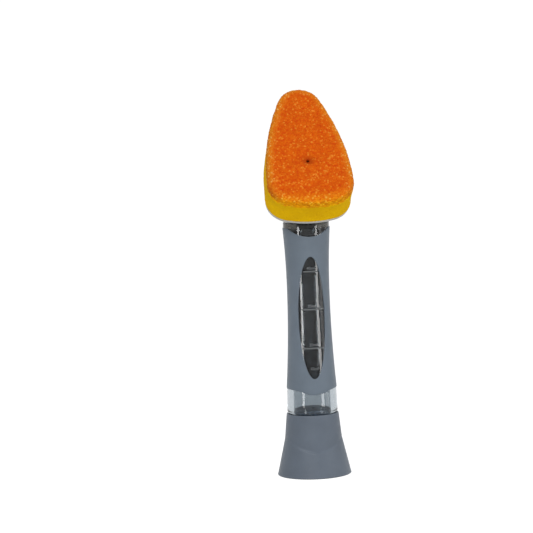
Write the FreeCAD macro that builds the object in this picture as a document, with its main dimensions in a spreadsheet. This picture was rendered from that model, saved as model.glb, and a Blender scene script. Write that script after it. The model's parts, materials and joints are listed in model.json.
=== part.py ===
"""Dish wand: a scrubbing sponge on a sloping cradle, over a handle that holds washing-up liquid.

The wand stands on its foot. The origin is the middle of the foot on the table, +Z runs up the
handle and the sponge faces forward, towards -Y. Lengths are millimetres, angles are degrees.
"""

import FreeCAD
import Part
import Sketcher

import math
import os
import re

SIZES = {
    # Gaps and cuts that several pieces share
    "overrun": 5.0,
    "slide_gap": 0.3,
    "press_gap": 0.05,
    # End cap: a column that carries on the handle's line, over a flared foot
    "cap_height": 42.0,
    "cap_top_radius": 17.6,
    "cap_edge_round": 0.5,
    "flare_height": 25.0,
    "flare_radius": 19.3,
    "foot_rim_radius": 25.0,
    "foot_rim_round": 0.8,
    "crease_height": 16.8,
    "crease_radius": 23.5,
    "skirt_wall": 1.8,
    "cap_floor": 2.2,
    "thread_room": 1.2,
    "plug_rise": 3.0,
    "plug_gap": 0.6,
    "plug_wall": 1.6,
    "gate_pip_radius": 1.3,
    "gate_pip_rise": 0.5,
    # Sealing rings: depth of their grooves, place of the cap's ring below the cap's top edge
    "cap_groove_depth": 1.5,
    "cap_seal_drop": 6.0,
    "cap_seal_gap": 0.1,
    "neck_groove_depth": 1.4,
    # Reservoir: threaded spigot, tapered bore, clear band above the cap
    "spigot_radius": 15.0,
    "spigot_length": 12.3,
    "bore_mouth_radius": 12.8,
    "bore_top_radius": 10.8,
    "band_foot_radius": 17.5,
    "band_foot_round": 1.6,
    "handle_height": 168.2,
    # Grip sleeve: a waisted skin with a window, a scooped top edge and a tongue at its lower edge
    "sleeve_wall": 1.8,
    "sleeve_base_height": 59.2,
    "sleeve_base_radius": 17.0,
    "waist_rise": 66.8,
    "waist_radius": 14.35,
    "sleeve_top_radius": 16.0,
    "tongue_drop": 3.2,
    "tongue_radius": 21.0,
    "scoop_depth": 5.4,
    "scoop_radius": 21.0,
    "window_foot_margin": 7.6,
    "window_head_margin": 19.0,
    "window_width": 18.4,
    "window_sink": 0.3,
    # Neck: plug, collar, column and the sloping cradle
    "neck_plug_length": 8.0,
    "neck_plug_gap": 0.1,
    "collar_radius": 15.6,
    "collar_height": 4.0,
    "collar_round": 1.2,
    "column_radius": 13.0,
    "funnel_radius": 7.4,
    "throat_radius": 5.0,
    "throat_rise": 14.0,
    "head_tilt": 40.0,
    "outlet_rise": 30.0,
    "cradle_width": 33.0,
    "cradle_tail": 20.0,
    "cradle_nose": 28.0,
    "cradle_corner": 6.0,
    "cradle_thickness": 3.0,
    # Outlet valve: a domed slit valve held down by a ring
    "valve_pocket_radius": 6.0,
    "valve_pocket_depth": 5.0,
    "valve_flange": 1.2,
    "valve_dome_radius": 2.7,
    "valve_wall": 0.8,
    "valve_slit_length": 3.0,
    "valve_slit_width": 0.3,
    "outlet_bore_radius": 1.8,
    "retainer_bore_radius": 3.3,
    "retainer_sink": 0.4,
    # Refill: backing plate with rails, sponge and scrub pad on one outline
    "pad_length": 94.2,
    "pad_width": 58.2,
    "pad_tail": 34.6,
    "pad_nose_radius": 15.2,
    "pad_corner_radius": 16.6,
    "pad_flank_radius": 163.0,
    "pad_tail_radius": 68.0,
    "plate_thickness": 2.0,
    "plate_inset": 0.6,
    "rail_wall": 2.0,
    "rail_lip": 1.8,
    "lip_reach": 2.3,
    "spout_radius": 3.5,
    "spout_bore_radius": 1.9,
    "spout_length": 12.0,
    "sponge_thickness": 17.5,
    "sponge_edge_round": 1.5,
    "scrub_thickness": 7.0,
    "scrub_edge_round": 3.5,
    "soap_hole_radius": 2.0,
    "dimple_radius": 6.5,
    "dimple_depth": 1.4,
}

# Places along the handle that several pieces share
SHOULDER = "(cap_height + slide_gap)"
SPIGOT_END = f"({SHOULDER} - spigot_length)"
SOCKET_FLOOR = f"({SPIGOT_END} - slide_gap)"
PLUG_TOP = "(cap_height + plug_rise)"
PLUG_RADIUS = "(bore_mouth_radius - plug_gap)"
CAP_SEAL_HEIGHT = "(cap_height - cap_seal_drop)"
WAIST = "(sleeve_base_height + waist_rise)"
WINDOW_LOW = "(sleeve_base_height + window_foot_margin)"
WINDOW_HIGH = "(handle_height - window_head_margin)"
SCOOP_LOW = "(handle_height - scoop_depth)"
TONGUE_LOW = "(sleeve_base_height - tongue_drop)"
TONGUE_HALF = "sqrt(tongue_radius * tongue_drop - tongue_drop^2 / 4)"
NECK_PLUG_RADIUS = "(bore_top_radius - neck_plug_gap)"
NECK_PLUG_END = "(handle_height - neck_plug_length)"
NECK_SEAL_HEIGHT = "(handle_height - neck_plug_length / 2)"
COLLAR_TOP = "(handle_height + collar_height)"
THROAT_TOP = f"({COLLAR_TOP} + throat_rise)"
OUTLET = "(handle_height + outlet_rise)"

# Places on the head, measured from the cradle's face along the way the sponge faces
PLATE_FRONT = "(slide_gap + plate_thickness)"
SPONGE_FRONT = f"({PLATE_FRONT} + sponge_thickness)"
VALVE_FLOOR = "(-valve_pocket_depth)"
VALVE_FLANGE_TOP = f"({VALVE_FLOOR} + valve_flange)"

FULL_TURN = 360
SAME_PLACE = 1e-6

doc = FreeCAD.newDocument("dish_wand")
sheet = doc.addObject("Spreadsheet::Sheet", "dims")


def fill_sheet():
    """Write every driving size into the sheet, under its own alias."""
    for row, (alias, size) in enumerate(SIZES.items(), start=1):
        sheet.set(f"A{row}", alias)
        sheet.set(f"B{row}", str(size))
        sheet.setAlias(f"B{row}", alias)
    doc.recompute()


def bound(text):
    """An expression on sizes, with each alias pointing at the sheet."""
    return re.sub(r"[a-z_]+", lambda word: f"dims.{word[0]}" if word[0] in SIZES else word[0], text)


def value(text):
    """What an expression on sizes comes to now."""
    return float(sheet.evalExpression(bound(text)))


def bore_radius(height):
    """The reservoir's tapered bore at a height on the handle."""
    taper = f"(bore_mouth_radius - bore_top_radius) / (handle_height - {SPIGOT_END})"
    return f"(bore_mouth_radius - ({height} - {SPIGOT_END}) * {taper})"


def column_radius_at(height):
    """The end cap's column, which widens downwards at a steady rate."""
    slope = "(flare_radius - cap_top_radius) / (cap_height - flare_height)"
    return f"(cap_top_radius + (cap_height - {height}) * {slope})"


def band_radius_at(height):
    """The clear band between the shoulder and the sleeve's lower edge."""
    slope = f"(band_foot_radius - sleeve_base_radius) / (sleeve_base_height - {SHOULDER})"
    return f"(sleeve_base_radius + (sleeve_base_height - {height}) * {slope})"


def waist_arc(end_radius, end_height):
    """Radius of the arc that leaves the waist upright and ends at a given radius and height."""
    rise = f"({end_height} - {WAIST})"
    swell = f"({end_radius} - waist_radius)"
    return f"(({rise}^2 + {swell}^2) / (2 * {swell}))"


LOWER_ARC = waist_arc("sleeve_base_radius", "sleeve_base_height")
UPPER_ARC = waist_arc("sleeve_top_radius", "handle_height")


# Sketches
def new_sketch(body, name, role="XZ_Plane"):
    """A sketch on one of the body's own origin planes."""
    plane = next(item for item in body.Origin.OriginFeatures if item.Role == role)
    sketch = body.newObject("Sketcher::SketchObject", name)
    sketch.AttachmentSupport = [(plane, "")]
    sketch.MapMode = "FlatFace"
    return sketch


def lift(sketch, height):
    """Move a sketch off its plane."""
    sketch.setExpression("AttachmentOffset.Base.z", bound(height))


def tilt_to_head(item, place):
    """Put a sketch or a body on the cradle's face: Y towards the tip, Z the way the sponge faces."""
    turn = FreeCAD.Rotation(FreeCAD.Vector(1, 0, 0), value("90 - head_tilt"))
    setattr(item, place, FreeCAD.Placement(FreeCAD.Vector(0, 0, value(OUTLET)), turn))
    item.setExpression(f"{place}.Base.z", bound(OUTLET))
    item.setExpression(f"{place}.Rotation.Angle", bound("90 - head_tilt"))


def constrain(sketch, expression, kind, *where):
    """Add a constraint whose size is bound to an expression."""
    index = sketch.addConstraint(Sketcher.Constraint(kind, *where, value(expression)))
    sketch.setExpression(f"Constraints[{index}]", bound(expression))


def pin(sketch, item, point, across, up):
    """Hold a point of a sketch at a place that expressions give."""
    for expression, kind, axis in ((across, "DistanceX", -2), (up, "DistanceY", -1)):
        if expression == "0":
            sketch.addConstraint(Sketcher.Constraint("PointOnObject", item, point, axis))
        else:
            constrain(sketch, expression, kind, -1, 1, item, point)


def arc_between(start, end, radius, side):
    """The short arc from start to end, its centre left of the way with side 1, right of it with -1."""
    chord = end - start
    left = FreeCAD.Vector(-chord.y, chord.x, 0).normalize()
    centre = (start + end) / 2 + left * side * math.sqrt(radius**2 - chord.Length**2 / 4)
    first, last = (start, end) if side > 0 else (end, start)
    angles = [math.atan2(point.y - centre.y, point.x - centre.x) for point in (first, last)]
    return Part.ArcOfCircle(Part.Circle(centre, FreeCAD.Vector(0, 0, 1), radius), *angles)


def loop(sketch, corners, arcs=None):
    """Close an outline through corners, each a pair of expressions.

    arcs gives the edges that are round: the edge's number to its radius and the side of its centre.
    """
    arcs = arcs or {}
    points = [FreeCAD.Vector(value(across), value(up), 0) for across, up in corners]
    ends = []
    for number, start in enumerate(points):
        end = points[(number + 1) % len(points)]
        if number in arcs:
            radius, side = arcs[number]
            item = sketch.addGeometry(arc_between(start, end, value(radius), side))
            ends.append((item, 1, 2) if side > 0 else (item, 2, 1))
        else:
            item = sketch.addGeometry(Part.LineSegment(start, end))
            ends.append((item, 1, 2))
    for number, (item, first, _) in enumerate(ends):
        before, _, last = ends[number - 1]
        sketch.addConstraint(Sketcher.Constraint("Coincident", before, last, item, first))
        pin(sketch, item, first, *corners[number])
    for number, (radius, _) in arcs.items():
        constrain(sketch, radius, "Radius", ends[number][0])


def circle(sketch, across, up, radius):
    """A circle with its centre and radius bound to expressions."""
    centre = FreeCAD.Vector(value(across), value(up), 0)
    item = sketch.addGeometry(Part.Circle(centre, FreeCAD.Vector(0, 0, 1), value(radius)))
    pin(sketch, item, 3, across, up)
    constrain(sketch, radius, "Radius", item)


def upright_ellipse(sketch, up, width, length):
    """An ellipse on the sketch's vertical axis, longer than it is wide."""
    centre = FreeCAD.Vector(0, value(up), 0)
    tip = centre + FreeCAD.Vector(0, value(length) / 2, 0)
    side = centre + FreeCAD.Vector(-value(width) / 2, 0, 0)
    item = sketch.addGeometry(Part.Ellipse(tip, side, centre))
    sketch.exposeInternalGeometry(item)
    long_axis, short_axis = item + 1, item + 2
    pin(sketch, item, 3, "0", up)
    sketch.addConstraint(Sketcher.Constraint("Vertical", long_axis))
    constrain(sketch, length, "Distance", long_axis)
    constrain(sketch, width, "Distance", short_axis)


def rounded_box(sketch, half_width, low, high, corner):
    """A rectangle with round corners, on the sketch's vertical axis."""
    inner = f"({half_width} - {corner})"
    right = [(inner, low), (half_width, f"{low} + {corner}")]
    right += [(half_width, f"{high} - {corner}"), (inner, high)]
    left = [(f"-{across}", up) for across, up in reversed(right)]
    loop(sketch, right + left, {number: (corner, 1) for number in (0, 2, 4, 6)})


def pad_outline(sketch, inset="0"):
    """The refill's outline: a bowed tail, round corners, bowed flanks and a round nose, all tangent."""
    tail, corner, flank, nose = (
        f"(pad_{part}_radius - {inset})" for part in ("tail", "corner", "flank", "nose")
    )
    corner_across = "(pad_width / 2 - pad_corner_radius)"
    tail_up = "(pad_tail_radius - pad_tail)"
    nose_up = "(pad_length - pad_tail - pad_nose_radius)"

    tail_centre = FreeCAD.Vector(0, value(tail_up), 0)
    nose_centre = FreeCAD.Vector(0, value(nose_up), 0)
    across = value(corner_across)
    drop = math.sqrt(value("pad_tail_radius - pad_corner_radius") ** 2 - across**2)
    corner_centre = FreeCAD.Vector(across, tail_centre.y - drop, 0)
    rise = nose_centre - corner_centre
    from_corner = value("pad_flank_radius - pad_corner_radius")
    from_nose = value("pad_flank_radius - pad_nose_radius")
    along = (from_corner**2 - from_nose**2 + rise.Length**2) / (2 * rise.Length)
    way = FreeCAD.Vector(rise).normalize()
    left = FreeCAD.Vector(-way.y, way.x, 0)
    flank_centre = corner_centre + way * along + left * math.sqrt(from_corner**2 - along**2)

    def heading(start, end):
        return math.atan2(end.y - start.y, end.x - start.x)

    tail_angle = heading(tail_centre, corner_centre)
    corner_angle = heading(flank_centre, corner_centre)
    nose_angle = heading(flank_centre, nose_centre)

    def arc(centre, radius, start, end):
        ring = Part.Circle(centre, FreeCAD.Vector(0, 0, 1), value(radius))
        return sketch.addGeometry(Part.ArcOfCircle(ring, start, end))

    def mirrored(centre, radius, start, end):
        return arc(FreeCAD.Vector(-centre.x, centre.y, 0), radius, math.pi - end, math.pi - start)

    edges = [
        arc(tail_centre, tail, -math.pi - tail_angle, tail_angle),
        arc(corner_centre, corner, tail_angle, corner_angle),
        arc(flank_centre, flank, corner_angle, nose_angle),
        arc(nose_centre, nose, nose_angle, math.pi - nose_angle),
        mirrored(flank_centre, flank, corner_angle, nose_angle),
        mirrored(corner_centre, corner, tail_angle, corner_angle),
    ]
    for number, edge in enumerate(edges):
        sketch.addConstraint(Sketcher.Constraint("Tangent", edges[number - 1], 2, edge, 1))
    for edge, radius in zip(edges, (tail, corner, flank, nose, flank, corner)):
        constrain(sketch, radius, "Radius", edge)
    pin(sketch, edges[0], 3, "0", tail_up)
    pin(sketch, edges[3], 3, "0", nose_up)
    constrain(sketch, corner_across, "DistanceX", -1, 1, edges[1], 3)
    constrain(sketch, f"-{corner_across}", "DistanceX", -1, 1, edges[5], 3)


# Features
def new_body(label, on_head=False):
    """A body for one sub-part, standing on the handle's axis or lying on the cradle's face."""
    body = doc.addObject("PartDesign::Body", label)
    body.Label = label
    if on_head:
        tilt_to_head(body, "Placement")
    return body


def add(body, feature):
    """Recompute after a feature that adds material, and make sure that it did."""
    before = feature.BaseFeature.Shape.Volume if feature.BaseFeature else 0
    doc.recompute()
    if feature.Shape.isNull() or feature.Shape.Volume <= before:
        raise RuntimeError(f"{body.Label}: {feature.Name} adds nothing")
    return feature


def cut(body, feature):
    """Recompute after a feature that takes material away, and make sure that it did."""
    doc.recompute()
    if feature.Shape.isNull() or feature.Shape.Volume >= feature.BaseFeature.Shape.Volume:
        raise RuntimeError(f"{body.Label}: {feature.Name} cuts nothing")
    return feature


def revolved(body, name, corners, arcs=None, kind="Revolution"):
    """Turn a half section, drawn as radius and height, about the body's upright axis."""
    sketch = new_sketch(body, f"{name}_section")
    loop(sketch, corners, arcs)
    feature = body.newObject(f"PartDesign::{kind}", name)
    feature.Profile = sketch
    feature.ReferenceAxis = (sketch, ["V_Axis"])
    feature.Angle = FULL_TURN
    return add(body, feature) if kind == "Revolution" else cut(body, feature)


def padded(body, sketch, name, length, downwards=False):
    """Raise a sketch by a length."""
    feature = body.newObject("PartDesign::Pad", name)
    feature.Profile = sketch
    feature.setExpression("Length", bound(length))
    feature.Reversed = downwards
    return add(body, feature)


def pocketed(body, sketch, name, length, along_normal=False):
    """Cut a sketch into the body by a length, against the sketch's normal unless along_normal."""
    feature = body.newObject("PartDesign::Pocket", name)
    feature.Profile = sketch
    feature.setExpression("Length", bound(length))
    feature.Reversed = along_normal
    return cut(body, feature)


def cut_through(body, sketch, name):
    """Cut a sketch right through the body, both ways."""
    feature = body.newObject("PartDesign::Pocket", name)
    feature.Profile = sketch
    feature.Type = "ThroughAll"
    feature.SideType = "Symmetric"
    return cut(body, feature)


def rounded(body, name, radius, picks):
    """Fillet the edges of the body's last feature that a test picks."""
    base = body.Tip
    names = [f"Edge{number}" for number, edge in enumerate(base.Shape.Edges, start=1) if picks(edge)]
    feature = body.newObject("PartDesign::Fillet", name)
    feature.Base = (base, names)
    feature.setExpression("Radius", bound(radius))
    doc.recompute()
    return feature


def ring_edge(radius, height):
    """A test for a round edge about the upright axis, of a given radius and height."""
    wanted_radius, wanted_height = value(radius), value(height)

    def test(edge):
        if not isinstance(edge.Curve, Part.Circle):
            return False
        centre = edge.Curve.Center
        offsets = [math.hypot(centre.x, centre.y), centre.z - wanted_height]
        offsets.append(edge.Curve.Radius - wanted_radius)
        return max(abs(offset) for offset in offsets) < SAME_PLACE

    return test


def level_edge(height):
    """A test for an edge that lies level at a given height."""
    wanted = value(height)

    def test(edge):
        return max(abs(end - wanted) for end in (edge.BoundBox.ZMin, edge.BoundBox.ZMax)) < SAME_PLACE

    return test


def seal_groove(body, plug_radius, depth, height):
    """Groove round a plug for a sealing ring, as tall as the ring that reaches from its floor to the bore."""
    half = f"(({bore_radius(height)} - {plug_radius} + {depth}) / 2 + press_gap)"
    floor, low, high = f"({plug_radius} - {depth})", f"{height} - {half}", f"{height} + {half}"
    section = [(floor, low), (plug_radius, low), (plug_radius, high), (floor, high)]
    revolved(body, "seal_groove", section, kind="Groove")


def sealing_ring(label, outer_radius, inner_radius, height):
    """A round ring that fills the space between a groove's floor and the wall it seals."""
    ring = doc.addObject("Part::Torus", label)
    ring.Label = label
    ring.setExpression("Radius1", bound(f"({outer_radius} + {inner_radius}) / 2"))
    ring.setExpression("Radius2", bound(f"({outer_radius} - {inner_radius}) / 2"))
    ring.setExpression("Placement.Base.z", bound(height))
    return ring


# Sub-parts of the handle
def end_cap():
    """Screw-on filler cap: flared foot, column, annular socket for the spigot and a hollow plug."""
    body = new_body("end_cap")
    flare = [("0", "0"), ("foot_rim_radius", "0"), ("flare_radius", "flare_height"), ("0", "flare_height")]
    revolved(body, "flare", flare)
    crease = new_sketch(body, "crease_outline")
    circle(crease, "0", "crease_height + crease_radius", "crease_radius")
    cut_through(body, crease, "crease")
    column = [("0", "0"), (column_radius_at("0"), "0"), ("cap_top_radius", "cap_height"), ("0", "cap_height")]
    revolved(body, "column", column)

    socket_wall = "(spigot_radius + thread_room)"
    socket = [("0", SOCKET_FLOOR), (socket_wall, SOCKET_FLOOR)]
    socket += [(socket_wall, "cap_height"), ("0", "cap_height")]
    revolved(body, "socket", socket, kind="Groove")
    ceiling = f"({SOCKET_FLOOR} - cap_floor)"
    plug = [("0", ceiling), (PLUG_RADIUS, ceiling), (PLUG_RADIUS, PLUG_TOP)]
    pip_top = f"{PLUG_TOP} + gate_pip_rise"
    pip = [("gate_pip_radius", PLUG_TOP), ("gate_pip_radius", pip_top), ("0", pip_top)]
    revolved(body, "plug", plug + pip)

    plug_hollow = "(bore_mouth_radius - plug_gap - cap_groove_depth - plug_wall)"
    hollow = [
        ("0", "0"),
        ("foot_rim_radius - skirt_wall", "0"),
        (f"{column_radius_at('crease_height')} - skirt_wall", "crease_height"),
        (f"{column_radius_at(ceiling)} - skirt_wall", ceiling),
        (plug_hollow, ceiling),
        (plug_hollow, f"{PLUG_TOP} - plug_wall"),
        ("0", f"{PLUG_TOP} - plug_wall"),
    ]
    revolved(body, "hollow", hollow, kind="Groove")
    seal_groove(body, PLUG_RADIUS, "cap_groove_depth", CAP_SEAL_HEIGHT)
    rounded(body, "rim_round", "foot_rim_round", ring_edge("foot_rim_radius", "0"))
    rounded(body, "top_round", "cap_edge_round", ring_edge("cap_top_radius", "cap_height"))
    return body


def cap_seal():
    """Ring on the cap's plug, just clear of the reservoir's bore."""
    return sealing_ring(
        "cap_seal",
        f"({bore_radius(CAP_SEAL_HEIGHT)} - cap_seal_gap)",
        f"({PLUG_RADIUS} - cap_groove_depth + press_gap)",
        CAP_SEAL_HEIGHT,
    )


def grip_sleeve():
    """Waisted skin with the window in front, the scoop at its top and the tongue at its lower edge."""
    body = new_body("grip_sleeve")
    outer = [
        (band_radius_at(TONGUE_LOW), TONGUE_LOW),
        ("sleeve_base_radius", "sleeve_base_height"),
        ("waist_radius", WAIST),
        ("sleeve_top_radius", "handle_height"),
    ]
    inner = [(f"{radius} - sleeve_wall", height) for radius, height in reversed(outer)]
    arcs = {1: (LOWER_ARC, -1), 2: (UPPER_ARC, -1), 4: (UPPER_ARC, 1), 5: (LOWER_ARC, 1)}
    revolved(body, "skin", outer + inner, arcs)

    scoop = new_sketch(body, "scoop_outline")
    circle(scoop, "0", f"{SCOOP_LOW} + scoop_radius", "scoop_radius")
    cut_through(body, scoop, "scoop")

    reach, floor = "(sleeve_base_radius + overrun)", f"({TONGUE_LOW} - overrun)"
    middle = "(sleeve_base_height - tongue_drop / 2)"
    right = [
        (reach, floor),
        (reach, "sleeve_base_height"),
        (f"2 * {TONGUE_HALF}", "sleeve_base_height"),
        (TONGUE_HALF, middle),
    ]
    left = [(f"-{across}", up) for across, up in reversed(right)]
    edge = new_sketch(body, "tongue_outline")
    loop(edge, right + left, {2: ("tongue_radius", 1), 3: ("tongue_radius", -1), 4: ("tongue_radius", 1)})
    cut_through(body, edge, "tongue")

    window = new_sketch(body, "window_outline")
    window_middle = f"({WINDOW_LOW} + {WINDOW_HIGH}) / 2"
    upright_ellipse(window, window_middle, "window_width", f"{WINDOW_HIGH} - {WINDOW_LOW}")
    pocketed(body, window, "window", "sleeve_base_radius + overrun", along_normal=True)
    return body


def reservoir(sleeve):
    """Clear tank: spigot, band and a core that fills the sleeve, its window and its scoop."""
    blank = new_body("reservoir_blank")
    section = [
        ("bore_mouth_radius", SPIGOT_END),
        ("spigot_radius", SPIGOT_END),
        ("spigot_radius", SHOULDER),
        ("band_foot_radius - window_sink", SHOULDER),
        ("sleeve_base_radius - window_sink", "sleeve_base_height"),
        ("waist_radius - window_sink", WAIST),
        ("sleeve_top_radius - window_sink", "handle_height"),
        ("bore_top_radius", "handle_height"),
    ]
    revolved(blank, "tank", section, {4: (LOWER_ARC, -1), 5: (UPPER_ARC, -1)})
    rounded(blank, "band_round", "band_foot_round", ring_edge("band_foot_radius - window_sink", SHOULDER))
    tank = doc.addObject("Part::Cut", "reservoir")
    tank.Label = "reservoir"
    tank.Base = blank
    tank.Tool = sleeve
    doc.recompute()
    return tank


def neck():
    """Clear neck: plug and collar on the reservoir, a column, the sloping cradle and the valve's pocket."""
    body = new_body("neck")
    column_top = f"({OUTLET} + column_radius / tan(head_tilt))"
    section = [
        ("0", NECK_PLUG_END),
        (NECK_PLUG_RADIUS, NECK_PLUG_END),
        (NECK_PLUG_RADIUS, "handle_height"),
        ("collar_radius", "handle_height"),
        ("collar_radius", COLLAR_TOP),
        ("column_radius", COLLAR_TOP),
        ("column_radius", column_top),
        ("0", column_top),
    ]
    revolved(body, "column", section)

    side = "(column_radius + overrun)"
    low, high = f"{OUTLET} - {side} / tan(head_tilt)", f"{OUTLET} + {side} / tan(head_tilt)"
    slope = new_sketch(body, "slope_outline", "YZ_Plane")
    loop(slope, [(f"-{side}", low), (side, high), (f"-{side}", high)])
    cut_through(body, slope, "slope")
    cradle = new_sketch(body, "cradle_outline", "XY_Plane")
    tilt_to_head(cradle, "AttachmentOffset")
    rounded_box(cradle, "cradle_width / 2", "(-cradle_tail)", "cradle_nose", "cradle_corner")
    padded(body, cradle, "cradle", "cradle_thickness", downwards=True)

    funnel = [("0", NECK_PLUG_END), ("funnel_radius", NECK_PLUG_END)]
    funnel += [("throat_radius", THROAT_TOP), ("0", THROAT_TOP)]
    revolved(body, "funnel", funnel, kind="Groove")
    pocket = new_sketch(body, "valve_pocket_outline", "XY_Plane")
    tilt_to_head(pocket, "AttachmentOffset")
    circle(pocket, "0", "0", "valve_pocket_radius")
    pocketed(body, pocket, "valve_pocket", "valve_pocket_depth")
    outlet = new_sketch(body, "outlet_outline", "XY_Plane")
    outlet_start = f"({COLLAR_TOP} + throat_rise / 2)"
    lift(outlet, outlet_start)
    circle(outlet, "0", "valve_pocket_depth * cos(head_tilt)", "outlet_bore_radius")
    outlet_end = f"({OUTLET} - valve_pocket_depth * sin(head_tilt) + outlet_bore_radius)"
    pocketed(body, outlet, "outlet", f"{outlet_end} - {outlet_start}", along_normal=True)

    seal_groove(body, NECK_PLUG_RADIUS, "neck_groove_depth", NECK_SEAL_HEIGHT)
    rounded(body, "collar_round", "collar_round", ring_edge("collar_radius", COLLAR_TOP))
    return body


def neck_seal():
    """Ring on the neck's plug, pressed against the reservoir's bore."""
    return sealing_ring(
        "neck_seal",
        f"({bore_radius(NECK_SEAL_HEIGHT)} - press_gap)",
        f"({NECK_PLUG_RADIUS} - neck_groove_depth + press_gap)",
        NECK_SEAL_HEIGHT,
    )


# Sub-parts of the head
def outlet_valve():
    """Domed rubber valve with a flange and a slit."""
    body = new_body("outlet_valve", on_head=True)
    flange = "(valve_pocket_radius - press_gap)"
    inner = "(valve_dome_radius - valve_wall)"
    section = [
        (inner, VALVE_FLOOR),
        (flange, VALVE_FLOOR),
        (flange, VALVE_FLANGE_TOP),
        ("valve_dome_radius", VALVE_FLANGE_TOP),
        ("0", f"{VALVE_FLANGE_TOP} + valve_dome_radius"),
        ("0", f"{VALVE_FLANGE_TOP} + {inner}"),
        (inner, VALVE_FLANGE_TOP),
    ]
    revolved(body, "dome", section, {3: ("valve_dome_radius", 1), 5: (inner, -1)})
    slit = new_sketch(body, "slit_outline", "XY_Plane")
    half_length, half_width = "(valve_slit_length / 2)", "(valve_slit_width / 2)"
    loop(
        slit,
        [
            (f"-{half_length}", f"-{half_width}"),
            (half_length, f"-{half_width}"),
            (half_length, half_width),
            (f"-{half_length}", half_width),
        ],
    )
    cut_through(body, slit, "slit")
    return body


def valve_retainer():
    """Ring pressed into the pocket, over the valve's flange."""
    body = new_body("valve_retainer", on_head=True)
    outer, top = "(valve_pocket_radius - press_gap)", "(-retainer_sink)"
    section = [("retainer_bore_radius", VALVE_FLANGE_TOP), (outer, VALVE_FLANGE_TOP)]
    revolved(body, "ring", section + [(outer, top), ("retainer_bore_radius", top)])
    return body


def backing_plate():
    """Plate behind the sponge: two lipped rails and a stop for the cradle, and the soap spout in front."""
    body = new_body("backing_plate", on_head=True)
    plate = new_sketch(body, "plate_outline", "XY_Plane")
    lift(plate, "slide_gap")
    pad_outline(plate, "plate_inset")
    padded(body, plate, "plate", "plate_thickness")

    groove_half = "(cradle_width / 2 + slide_gap)"
    groove_end = "(cradle_nose + slide_gap)"
    lip_top = "(-cradle_thickness - slide_gap)"
    block_half = f"({groove_half} + rail_wall)"
    block = new_sketch(body, "rail_outline", "XY_Plane")
    lift(block, "slide_gap")
    rounded_box(block, block_half, "(-cradle_tail)", f"({groove_end} + rail_wall)", "rail_wall")
    padded(body, block, "rails", f"slide_gap - {lip_top} + rail_lip", downwards=True)

    slot_half = f"({groove_half} - lip_reach)"
    below = f"({lip_top} - rail_lip - overrun)"
    right = [(slot_half, below), (slot_half, lip_top), (groove_half, lip_top), (groove_half, "slide_gap")]
    left = [(f"-{across}", up) for across, up in reversed(right)]
    groove = new_sketch(body, "rail_groove_outline")
    lift(groove, "cradle_tail + overrun")
    loop(groove, right + left)
    pocketed(body, groove, "rail_groove", f"cradle_tail + overrun + {groove_end}")

    spout = new_sketch(body, "spout_outline", "XY_Plane")
    lift(spout, PLATE_FRONT)
    circle(spout, "0", "0", "spout_radius")
    padded(body, spout, "spout", "spout_length")
    bore = new_sketch(body, "spout_bore_outline", "XY_Plane")
    circle(bore, "0", "0", "spout_bore_radius")
    pocketed(body, bore, "spout_bore", f"{PLATE_FRONT} + spout_length + overrun", along_normal=True)
    return body


def foam_layer(label, back, thickness, hole_radius, edge, edge_round):
    """One layer of foam on the refill's outline, with the soap hole through it and one edge rounded."""
    body = new_body(label, on_head=True)
    outline = new_sketch(body, "outline", "XY_Plane")
    lift(outline, back)
    pad_outline(outline)
    padded(body, outline, "layer", thickness)
    rounded(body, "edge_round", edge_round, level_edge(edge))
    hole = new_sketch(body, "hole_outline", "XY_Plane")
    circle(hole, "0", "0", hole_radius)
    cut_through(body, hole, "hole")
    return body


def sponge_pad():
    """Yellow sponge, bonded to the backing plate round its spout."""
    hole = "spout_radius + slide_gap"
    return foam_layer("sponge_pad", PLATE_FRONT, "sponge_thickness", hole, PLATE_FRONT, "sponge_edge_round")


def scrub_pad():
    """Orange scrubbing foam, bonded to the sponge and dished round the soap hole."""
    front = f"({SPONGE_FRONT} + scrub_thickness)"
    hole = "soap_hole_radius"
    body = foam_layer("scrub_pad", SPONGE_FRONT, "scrub_thickness", hole, front, "scrub_edge_round")
    dish = [("0", f"{front} - dimple_depth"), ("dimple_radius", front), ("0", front)]
    dish_radius = "(dimple_radius^2 + dimple_depth^2) / (2 * dimple_depth)"
    revolved(body, "dimple", dish, {0: (dish_radius, 1)}, "Groove")
    return body


def check(parts):
    """Stop before anything is written if an object failed or a sub-part's shape is bad."""
    for item in doc.Objects:
        if any(state in ("Invalid", "Error") for state in item.State):
            raise RuntimeError(f"{item.Name} failed: {item.State}")
    for part in parts:
        if part.Shape.isNull() or not part.Shape.isValid() or len(part.Shape.Solids) != 1:
            raise RuntimeError(f"{part.Label} is not one valid solid")


def main():
    fill_sheet()
    sleeve = grip_sleeve()
    parts = [
        end_cap(),
        cap_seal(),
        sleeve,
        reservoir(sleeve),
        neck(),
        neck_seal(),
        outlet_valve(),
        valve_retainer(),
        backing_plate(),
        sponge_pad(),
        scrub_pad(),
    ]
    doc.recompute()
    check(parts)
    os.makedirs("parts", exist_ok=True)
    for part in parts:
        part.Shape.exportStep(os.path.join("parts", f"{part.Label}.step"))
        print(f"{part.Label}: {part.Shape.Volume:.0f} mm3")


main()
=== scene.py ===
"""Dish wand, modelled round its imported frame: a scrubbing sponge on a handle that holds soap.

The frame's origin is the middle of the foot on the table. +Z runs up the handle and the sponge
faces forward, towards -Y. Lengths are metres, written as millimetres times MM.
"""

import json
import logging
import math
from collections.abc import Callable, Iterator, Sequence
from contextlib import contextmanager
from dataclasses import dataclass
from enum import Enum
from functools import cache, cached_property

import bmesh
import bpy
from mathutils import Matrix, Vector, noise
from mathutils.kdtree import KDTree

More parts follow.
